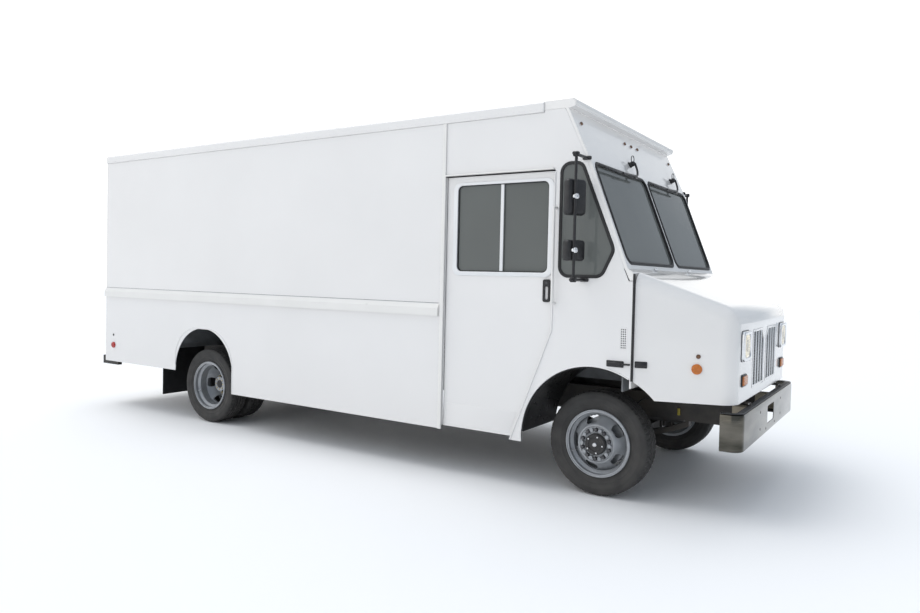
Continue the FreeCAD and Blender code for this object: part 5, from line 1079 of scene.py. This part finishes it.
def wipers():
    """Parallel wipers: motor housing, sprung arm, blade with its rubber, and the washer hose."""
    place = screen_place()
    for word, y in (("left", 0.870), ("right", -0.275)):
        node = f"wiper_{word}"
        up = (2.655 - SCREEN_TOP[1]) / place.col[1].z
        here = place @ Matrix.Translation((y, up, 0)) @ Matrix.Diagonal((1, -1, 1, 1))
        boss = lathe(f"wiper_motor_{word}", [(-0.003, 0.0), (-0.003, 0.024), (0.026, 0.022), (0.040, 0.016),
                                             (0.045, 0.0)], (0, 0, 0), 1, 32, axis="Z")
        arm = tube(f"wiper_arm_{word}", [(0, 0.004, 0.041), (-0.006, 0.080, 0.041), (-0.060, 0.135, 0.040),
                                         (-0.400, 0.150, 0.036)], 0.009, 0.05)
        back = block(f"wiper_back_{word}", (-0.770, 0.143, 0.019), (-0.050, 0.158, 0.034), 0.004, 2)
        rubber = block(f"wiper_rubber_{word}", (-0.773, 0.148, 0.0115), (-0.047, 0.153, 0.022), 0.002, 1)
        yoke = [block(f"wiper_claw_{word}_{n}", (x - 0.012, 0.1435, 0.022), (x + 0.012, 0.1575, 0.036),
                      0.003, 2) for n, x in enumerate((-0.700, -0.540, -0.400, -0.260, -0.120))]
        obj = joined(f"wiper_set_{word}", [boss, arm, back, rubber, *yoke])
        obj.data.transform(here)
        finish(weld(obj), BLACK, node, [node], angle=40)
        hose = tube(f"washer_hose_{word}", [(0.020, -0.004, 0.010), (0.055, -0.040, 0.030),
                                            (0.020, -0.075, 0.042), (-0.035, -0.050, 0.036),
                                            (-0.030, 0.010, 0.020), (-0.010, 0.012, 0.006)], 0.0035, 0.03)
        base = lathe(f"wiper_seat_{word}", [(-0.012, 0.0), (-0.012, 0.031), (-0.0055, 0.030),
                                            (-0.0040, 0.026), (-0.0040, 0.0)], (0, 0, 0), 1, 32, axis="Z")
        extra = joined(f"wiper_base_{word}", [hose, base])
        extra.data.transform(here)
        finish(weld(extra), BLACK)


def screens():
    """A dark bead round each windscreen."""
    for word, side in SIDES.items():
        up_low = -(SCREEN_TOP[1] - SCREEN_LOW[1]) / screen_place().col[1].z
        near, far = reach(side, 0.034, 1.161)
        loop = rounded(rectangle(near, up_low + 0.014, far, -0.014), 0.072)
        hole = rounded(rectangle(near + 0.0035, up_low + 0.0175, far - 0.0035, -0.0175), 0.069)
        bead = plate(f"screen_bead_{word}", loop, [hole], screen_place(0.004), 0.0035, 0.001)
        finish(bead, HUB)


# Body shell details

def body_details():
    """Rivets, arch lips, side markers, rear lamps and wheel liners; then the roof and the rear."""
    for word, side in SIDES.items():
        spots = []
        y = side * (high("roof").y)
        for n in range(118):
            spots.append((BODY_BACK + 0.03 + n * 0.0505, y, 2.972))
        heads = studs(f"roof_rivets_{word}", spots, 0.0045, 0.0022, (0, side, 0), 8, 0.6)
        finish(heads, PAINT, angle=60)
        spots = [(BODY_BACK + 0.02, side * SIDE_Y, 0.62 + n * 0.06) for n in range(38)]
        spots += [(1.352, side * SIDE_Y, 0.42 + n * 0.06) for n in range(42)]
        heads = studs(f"panel_rivets_{word}", spots, 0.0040, 0.0016, (0, side, 0), 8, 0.6)
        finish(heads, PAINT, angle=60)
        arch = rear_arch(side)
        finish(tube(f"rear_arch_lip_{word}", arch, 0.006, 0.01, 2), PAINT)
        disc(f"rear_side_marker_{word}", Vector((-3.479, side * SIDE_Y, 0.741)), Vector((0, side, 0)),
             0.036, 0.013, RED, "van")
        disc(f"rear_side_dot_{word}", Vector((-3.481, side * SIDE_Y, 0.864)), Vector((0, side, 0)), 0.013,
             0.006, HUB, "van", 1)
        rear_lamps(word, side)
        belt = block(f"belt_shadow_{word}", (BODY_BACK + 0.002, side * SIDE_Y - 0.001, 1.437),
                     (1.345, side * SIDE_Y + 0.0012, 1.441), 0.0004, 1)
        finish(belt, FLOOR_GREY)
        liners(word, side)
    roof_details()
    rear_details()


def rear_arch(side):
    """The rear wheel arch's edge."""
    back, front, top = REAR_ARCH
    y = side * (SIDE_Y - 0.001)
    loop = rounded([(back, 0.30), (back, top), (front, top), (front, 0.20)], REAR_ARCH_ROUND, 16)
    curve = [(point.x, y, point.y) for point in loop if point.y > 0.56]
    return [(back, y, 0.541), *curve, (front, y, 0.372)]


def liners(word, side):
    """Black liners over the front wheels."""
    shape = bmesh.new()
    rows = []
    for y in (0.60, 1.195):
        row = []
        for step in range(33):
            way = math.radians(178 - step * 4.9)
            row.append(shape.verts.new(arch_point(ARCH_RADIUS - 0.007, way, side * y)))
        rows.append(row)
    for a, b, c, d in zip(rows[0], rows[0][1:], rows[1][1:], rows[1]):
        if b.co.x < 3.04:
            shape.faces.new((a, b, c, d))
    bmesh.ops.delete(shape, geom=[v for v in shape.verts if not v.link_faces], context="VERTS")
    obj = from_bmesh(f"front_liner_{word}", shape)
    thick = obj.modifiers.new("thick", "SOLIDIFY")
    thick.thickness = 0.004
    finish(frozen(obj), LINER)
    back = block(f"front_liner_wall_{word}", (2.20, side * 0.552 - 0.004, 0.845),
                 (3.02, side * 0.552 + 0.004, 1.055), 0.003)
    finish(back, LINER)


def rear_lamps(word, side):
    """A stack of round tail lamps in a housing on each rear post."""
    back = BODY_BACK
    y = side * 1.090
    house = plate(f"tail_housing_{word}", rounded(rectangle(y - 0.060, 0.900, y + 0.060, 1.260), 0.030), [],
                  on_front(back - 0.010), 0.011, 0.004)
    finish(house, BLACK, replaced=["body_lamps"] if side > 0 else [])
    for n, (z, paint) in enumerate(((0.960, RED), (1.080, AMBER), (1.200, LENS))):
        disc(f"tail_lamp_{word}_{n}", Vector((back - 0.009, y, z)), Vector((-1, 0, 0)), 0.047, 0.014, paint,
             "van")
    disc(f"rear_top_lamp_{word}", Vector((back, side * 0.98, 2.86)), Vector((-1, 0, 0)), 0.022, 0.012, RED,
         "van", 2)


def roof_details():
    """Roof bows that show through the skin."""
    bows = []
    for n in range(9):
        x = BODY_BACK + 0.35 + n * 0.65
        bows.append(block(f"bow_{n}", (x - 0.020, -1.16, ROOF_TOP - 0.006),
                          (x + 0.020, 1.16, ROOF_TOP + 0.0025), 0.002, 2))
    finish(joined("roof_bows", bows), PAINT)


def rear_details():
    """Pressings, windows, seals and lock rods on the rear doors, the step's tread and a blank plate."""
    back = low("rear_door_left").x + 0.018
    for word, side in SIDES.items():
        body = f"rear_door_{word}"
        lo_y, hi_y = reach(side, 0.040, 0.900)
        outer = rounded(rectangle(lo_y, 0.930, hi_y, 2.700), 0.040)
        hole = rounded(rectangle(lo_y + 0.012, 0.942, hi_y - 0.012, 2.688), 0.032)
        finish(plate(f"door_press_{word}", outer, [hole], on_front(back - 0.004), 0.005, 0.0015), PAINT,
               body)
        w0, w1 = reach(side, 0.160, 0.760)
        outer = rounded(rectangle(w0, 1.860, w1, 2.420), 0.060)
        hole = rounded(rectangle(w0 + 0.026, 1.886, w1 - 0.026, 2.394), 0.045)
        finish(plate(f"rear_window_seal_{word}", outer, [hole], on_front(back - 0.008), 0.010, 0.004, 3),
               RUBBER, body)
        finish(plate(f"rear_window_{word}", hole, [], on_front(back - 0.004), 0.006, 0.001), GLASS, body)
        meet = tube(f"meeting_seal_{word}", [(back - 0.002, side * 0.008, 0.870),
                                             (back - 0.002, side * 0.008, 2.770)], 0.005, 0.01)
        finish(meet, RUBBER, body)
    rods = [tube("lock_rod_up", [(back - 0.012, -0.050, 1.700), (back - 0.012, -0.050, 2.740)], 0.007,
                 0.01), tube("lock_rod_down", [(back - 0.012, -0.050, 1.600),
                                               (back - 0.012, -0.050, 0.900)], 0.007, 0.01)]
    for z in (0.95, 1.30, 2.10, 2.65):
        rods.append(block(f"rod_guide_{z}", (back - 0.020, -0.064, z - 0.012),
                          (back + 0.001, -0.036, z + 0.012), 0.003))
    finish(joined("lock_rods", rods), ALLOY, "rear_door_right")
    spots = []
    for row in range(3):
        for n in range(64):
            spots.append((low("rear_bumper").x + 0.035 + row * 0.040, -1.10 + n * 0.035, 0.589))
    finish(studs("step_tread", spots, 0.009, 0.003, (0, 0, 1), 8, 0.5), CHASSIS)
    frame_ = plate("number_plate_blank", rounded(rectangle(-0.155, 0.640, 0.155, 0.800), 0.010), [],
                   on_front(BODY_BACK - 0.008), 0.007, 0.002)
    finish(frame_, ALLOY)


# Underneath

def underneath():
    """Spring clips, tank straps, pipes, shock absorbers, pulleys and the fan."""
    for word, side in SIDES.items():
        for name, x, z in (("front", AXLE_F, 0.384), ("rear", AXLE_R, 0.479)):
            clips = []
            for shift in (-0.055, 0.055):
                clips.append(tube(f"u_bolt_{name}_{word}_{shift}", [(x + shift, side * 0.385, z - 0.075),
                                                                    (x + shift, side * 0.385, z + 0.060),
                                                                    (x + shift, side * 0.475, z + 0.060),
                                                                    (x + shift, side * 0.475, z - 0.075)],
                                  0.009, 0.02))
            clips.append(block(f"axle_pad_{name}_{word}", (x - 0.075, side * 0.430 - 0.050, z + 0.046),
                               (x + 0.075, side * 0.430 + 0.050, z + 0.062), 0.004))
            finish(joined(f"spring_clips_{name}_{word}", clips), CHASSIS)
        strap = []
        tank_lo, tank_hi = low("fuel_tank"), high("fuel_tank")
        if side > 0:
            for x in (-0.15, 0.39):
                loop = rounded(rectangle(tank_lo.y - 0.004, tank_lo.z - 0.004, tank_hi.y + 0.004,
                                         tank_hi.z + 0.004), 0.062)
                hole = rounded(rectangle(tank_lo.y + 0.002, tank_lo.z + 0.002, tank_hi.y - 0.002,
                                         tank_hi.z - 0.002), 0.058)
                strap.append(plate(f"tank_strap_{x}", loop, [hole], on_front(x - 0.025), 0.050, 0.001))
            finish(joined("tank_straps", strap), BRIGHT)
        line = [(2.735, side * 0.70, 0.470), (2.83, side * 0.66, 0.60), (2.90, side * 0.50, 0.70),
                (2.98, side * 0.475, 0.72)]
        finish(tube(f"brake_pipe_{word}", line, 0.006, 0.05), RUBBER)
        tag = block(f"frame_tag_{word}", (3.186, side * 0.480 - 0.004, 0.600),
                    (3.208, side * 0.480 + 0.004, 0.655), 0.003)
        finish(tag, YELLOW)
        shock = [studs(f"shock_body_{word}", [(2.560, side * 0.520, 0.44)], 0.030, 0.20, (0.12, 0, 1), 24,
                       0.1), studs(f"shock_rod_{word}", [(2.585, side * 0.520, 0.62)], 0.012, 0.10,
                                   (0.12, 0, 1), 16, 0.1), block(f"shock_eye_{word}",
                                                                 (2.575, side * 0.495 - 0.028, 0.700),
                                                                 (2.625, side * 0.495 + 0.028, 0.735),
                                                                 0.008)]
        finish(joined(f"shock_absorber_{word}", shock), CHASSIS)
    belts = [lathe(f"pulley_{n}", [(-0.012, 0.0), (-0.012, r), (-0.004, r - 0.008), (0.004, r - 0.008),
                                   (0.012, r), (0.012, 0.0)], (3.275, y, z), 1, 32, axis="X") for n,
             (r, y, z) in enumerate(((0.075, 0.0, 0.70), (0.05, 0.17, 0.90), (0.06, -0.15, 0.95)))]
    finish(joined("engine_pulleys", belts), CAST)
    blades = []
    for n in range(7):
        way = math.tau * n / 7
        blades.append(block(f"fan_blade_{n}", (-0.004, 0.05, -0.035), (0.004, 0.235, 0.035), 0.003, 2,
                            Matrix.Translation((3.365, 0, 1.03)) @ Matrix.Rotation(way, 4, "X")
                            @ Matrix.Rotation(0.5, 4, "Y")))
    blades.append(lathe("fan_boss", [(-0.02, 0.0), (-0.02, 0.062), (0.02, 0.055), (0.02, 0.0)],
                        (3.365, 0, 1.03), 1, 32, axis="X"))
    finish(joined("cooling_fan", blades), BLACK)


# Inside the cab

def interior():
    """Dials, switches, tray, pedal rubbers, wall ribs and floor ribs."""
    face = 2.480
    dial = [lathe(f"dial_{n}", [(-0.012, 0.0), (-0.012, r), (-0.002, r), (0.0, r * 0.92),
                                (-0.006, r * 0.88), (-0.006, 0.0)], (face, y, z), -1, 36, axis="X") for n,
            (r, y, z) in enumerate(((0.055, 0.70, 1.475), (0.055, 0.55, 1.475), (0.028, 0.625, 1.40),
                                    (0.028, 0.80, 1.41), (0.028, 0.45, 1.41)))]
    finish(joined("dash_dials", dial), BLACK)
    keys = [block(f"dash_key_{n}", (face - 0.010, 0.10 + n * 0.045, 1.440),
                  (face + 0.002, 0.135 + n * 0.045, 1.480), 0.004) for n in range(5)]
    keys += [block(f"dash_vent_{n}", (face - 0.006, y - 0.070, 1.500), (face + 0.002, y + 0.070, 1.540),
                   0.006) for n, y in enumerate((-0.9, -0.35, 0.0, 0.95))]
    finish(joined("dash_switches", keys), BLACK)
    tray = block("dash_tray", (2.560, -1.10, 1.556), (2.900, 1.10, 1.566), 0.004)
    finish(tray, RUBBER)
    steering_wheel()
    for node, half in (("brake_pedal", 0.036), ("accelerator_pedal", 0.026)):
        lo, hi = low(node), high(node)
        y = (lo.y + hi.y) / 2
        pad = [block(f"{node}_pad", (lo.x - 0.004, y - half - 0.002, 0.963),
                     (lo.x + 0.010, y + half + 0.002, 1.037), 0.004)]
        pad += [block(f"{node}_rib_{n}", (lo.x - 0.007, y - half + 0.004, 0.972 + n * 0.014),
                      (lo.x - 0.002, y + half - 0.004, 0.978 + n * 0.014), 0.001, 1) for n in range(5)]
        finish(joined(f"{node}_rubber", pad), RUBBER, node)
    ribs = []
    for side in (-1, 1):
        for n in range(7):
            x = BODY_BACK + 0.45 + n * 0.56
            lo_y, hi_y = reach(side, 1.199, 1.170)
            z0 = 1.07 if -2.3 < x < -1.25 else 0.870
            ribs.append(block(f"wall_rib_{side}_{n}", (x - 0.020, lo_y, z0), (x + 0.020, hi_y, 2.94), 0.004,
                              2))
    finish(joined("wall_ribs", ribs), ALLOY)
    planks = [block(f"floor_rib_{n}", (-3.59, -0.54 + n * 0.36, 0.8685), (1.34, -0.52 + n * 0.36, 0.8735),
                    0.001, 1) for n in range(4)]
    finish(joined("floor_ribs", planks), ALLOY)


def steering_wheel():
    """A moulded rim on three spokes with a horn pad."""
    tilt = math.radians(-35)
    place = Matrix.Translation((2.300, 0.620, 1.640)) @ Matrix.Rotation(tilt, 4, "Y")
    ring = [(0.215 + 0.0152 * math.cos(a), 0.0152 * math.sin(a))
            for a in (math.tau * k / 14 for k in range(15))]
    rim = lathe("wheel_rim", [(z, r) for r, z in ring], (0, 0, 0), 1, 72, lambda number, step, across,
                radius: radius - (0.0012 if step % 6 == 0 and radius > 0.215 else 0.0), axis="Z")
    parts = [rim]
    for n in range(3):
        arm = block(f"spoke_{n}", (0.040, -0.017, -0.007), (0.207, 0.017, 0.004), 0.005, 3,
                    Matrix.Rotation(math.tau * n / 3, 4, "Z"))
        parts.append(arm)
    parts.append(lathe("horn_pad", [(-0.024, 0.016), (-0.024, 0.044), (0.010, 0.056), (0.026, 0.050),
                                    (0.032, 0.030), (0.034, 0.0)], (0, 0, 0), 1, 48, axis="Z"))
    wheel = joined("steering_wheel_moulding", parts)
    wheel.data.transform(place)
    finish(weld(wheel), PLASTIC, "steering_wheel", ["steering_wheel"], angle=50)


def seat():
    """The driver's seat: a filled cushion and backrest with sewn channels and piping."""
    for node, squeeze, name in (("seat_cushion", 0.018, "cushion"), ("seat_backrest", 0.018, "backrest")):
        pad = stuffed(f"seat_{name}", node, squeeze)
        finish(pad, VINYL, "seat", [node], angle=60)


def stuffed(name, node, squeeze):
    """A pad swollen from the node's shape by cloth pressure, then sewn in channels."""
    lo, hi = low(node), high(node)
    source = NODES[node].data.copy()
    obj = link(bpy.data.objects.new(name, source))
    obj.data.materials.clear()
    middle = (lo + hi) / 2
    size = hi - lo
    shrink = Matrix.Diagonal((1 - 2 * squeeze / size.x, 1 - 2 * squeeze / size.y, 1 - 2 * squeeze / size.z,
                              1))
    obj.data.transform(Matrix.Translation(middle) @ shrink @ Matrix.Translation(-middle))
    weld(obj)
    even = obj.modifiers.new("even", "REMESH")
    even.mode = "VOXEL"
    even.voxel_size = 0.012
    obj = frozen(obj)
    rest = [v.co.copy() for v in obj.data.vertices]
    cloth = obj.modifiers.new("fill", "CLOTH")
    cloth.settings.use_pressure = True
    cloth.settings.uniform_pressure_force = 4
    cloth.settings.effector_weights.gravity = 0
    cloth.point_cache.frame_start = 1
    cloth.point_cache.frame_end = 14
    for step in range(1, 15):
        bpy.context.scene.frame_set(step)
    obj = frozen(obj)
    cap = squeeze * 0.92
    for vertex, start in zip(obj.data.vertices, rest):
        move = vertex.co - start
        if move.length > cap:
            vertex.co = start + move.normalized() * cap
    bpy.context.scene.frame_set(1)
    sew(obj, node)
    polish = obj.modifiers.new("polish", "SUBSURF")
    polish.levels = 1
    polish.render_levels = 1
    return frozen(obj)


def sew(obj, node):
    """Press sewn channels into the sitting or leaning face."""
    lo, hi = low(node), high(node)
    flat = node == "seat_cushion"
    lines = [lo.y + (hi.y - lo.y) * share for share in (0.27, 0.5, 0.73)]
    for vertex in obj.data.vertices:
        spot = vertex.co
        front = spot.z > hi.z - 0.05 if flat else spot.x > lo.x + (hi.x - lo.x) * 0.55
        if not front:
            continue
        depth = sum(0.007 * math.exp(-((spot.y - line) / 0.008) ** 2) for line in lines)
        if flat:
            spot.z -= depth
        else:
            spot.x -= depth


# Stage

def sky():
    """Soft light all round, bluer overhead and dimmer ahead of the van."""
    world = bpy.data.worlds.new("soft_sky")
    bpy.context.scene.world = world
    world.use_nodes = True
    tree = world.node_tree
    back = settle(tree.nodes["Background"], Strength=1.25)
    way = node(tree, "SeparateXYZ")
    rise = tone_ramp(tree, (0.25, (1.0, 1.0, 1.0)), (0.95, (0.80, 0.85, 0.92)))
    ahead = tone_ramp(tree, (0.01, (1.0, 1.0, 1.0)), (0.16, (0.42, 0.46, 0.51)))
    links(tree, (node(tree, "TexCoord").outputs["Generated"], way.inputs["Vector"]),
          (way.outputs["Z"], rise.inputs["Fac"]), (way.outputs["X"], ahead.inputs["Fac"]))
    links(tree, (mixed(tree, rise.outputs["Color"], ahead.outputs["Color"], blend="MULTIPLY"),
                 back.inputs["Color"]))


def stage():
    """Pale floor, sun and camera."""
    sky()
    bpy.ops.mesh.primitive_circle_add(vertices=128, radius=60, fill_type="NGON", location=(0, 0, -0.0005))
    floor = bpy.context.object
    floor.name = "stage_floor"
    floor.data.materials.append(STAGE)
    sun = bpy.data.lights.new("sun", "SUN")
    sun.energy = 0.85
    sun.angle = math.radians(34)
    sun.color = (1.0, 0.985, 0.96)
    lamp = link(bpy.data.objects.new("sun", sun))
    lamp.rotation_euler = Vector((-0.50, -0.14, 1.0)).to_track_quat("Z", "Y").to_euler()
    camera = bpy.data.cameras.new("camera")
    camera.lens = 28.065913
    camera.sensor_width = 36
    camera.shift_x, camera.shift_y = -0.0024565, -0.0117391
    camera.clip_end = 200
    eye = link(bpy.data.objects.new("camera", camera))
    way, rise, roll = math.radians(33.102), math.radians(1.533), math.radians(1.290)
    behind = Vector((math.sin(way) * math.cos(rise), -math.cos(way) * math.cos(rise), math.sin(rise)))
    right = Vector((0, 0, 1)).cross(behind).normalized()
    above = behind.cross(right)
    turned = math.cos(roll) * right + math.sin(roll) * above
    above = behind.cross(turned)
    eye.matrix_world = Matrix.Translation((4.8452, -6.2122,
                                           1.6686)) @ Matrix((turned, above, behind)).transposed().to_4x4()
    bpy.context.scene.camera = eye
    bpy.context.scene.view_settings.view_transform = "Standard"


repaint()
wheels()
hood()
grille()
front_lamps()
bumper()
cab_outside()
door_windows()
mirrors()
wipers()
screens()
body_details()
underneath()
interior()
seat()
stage()
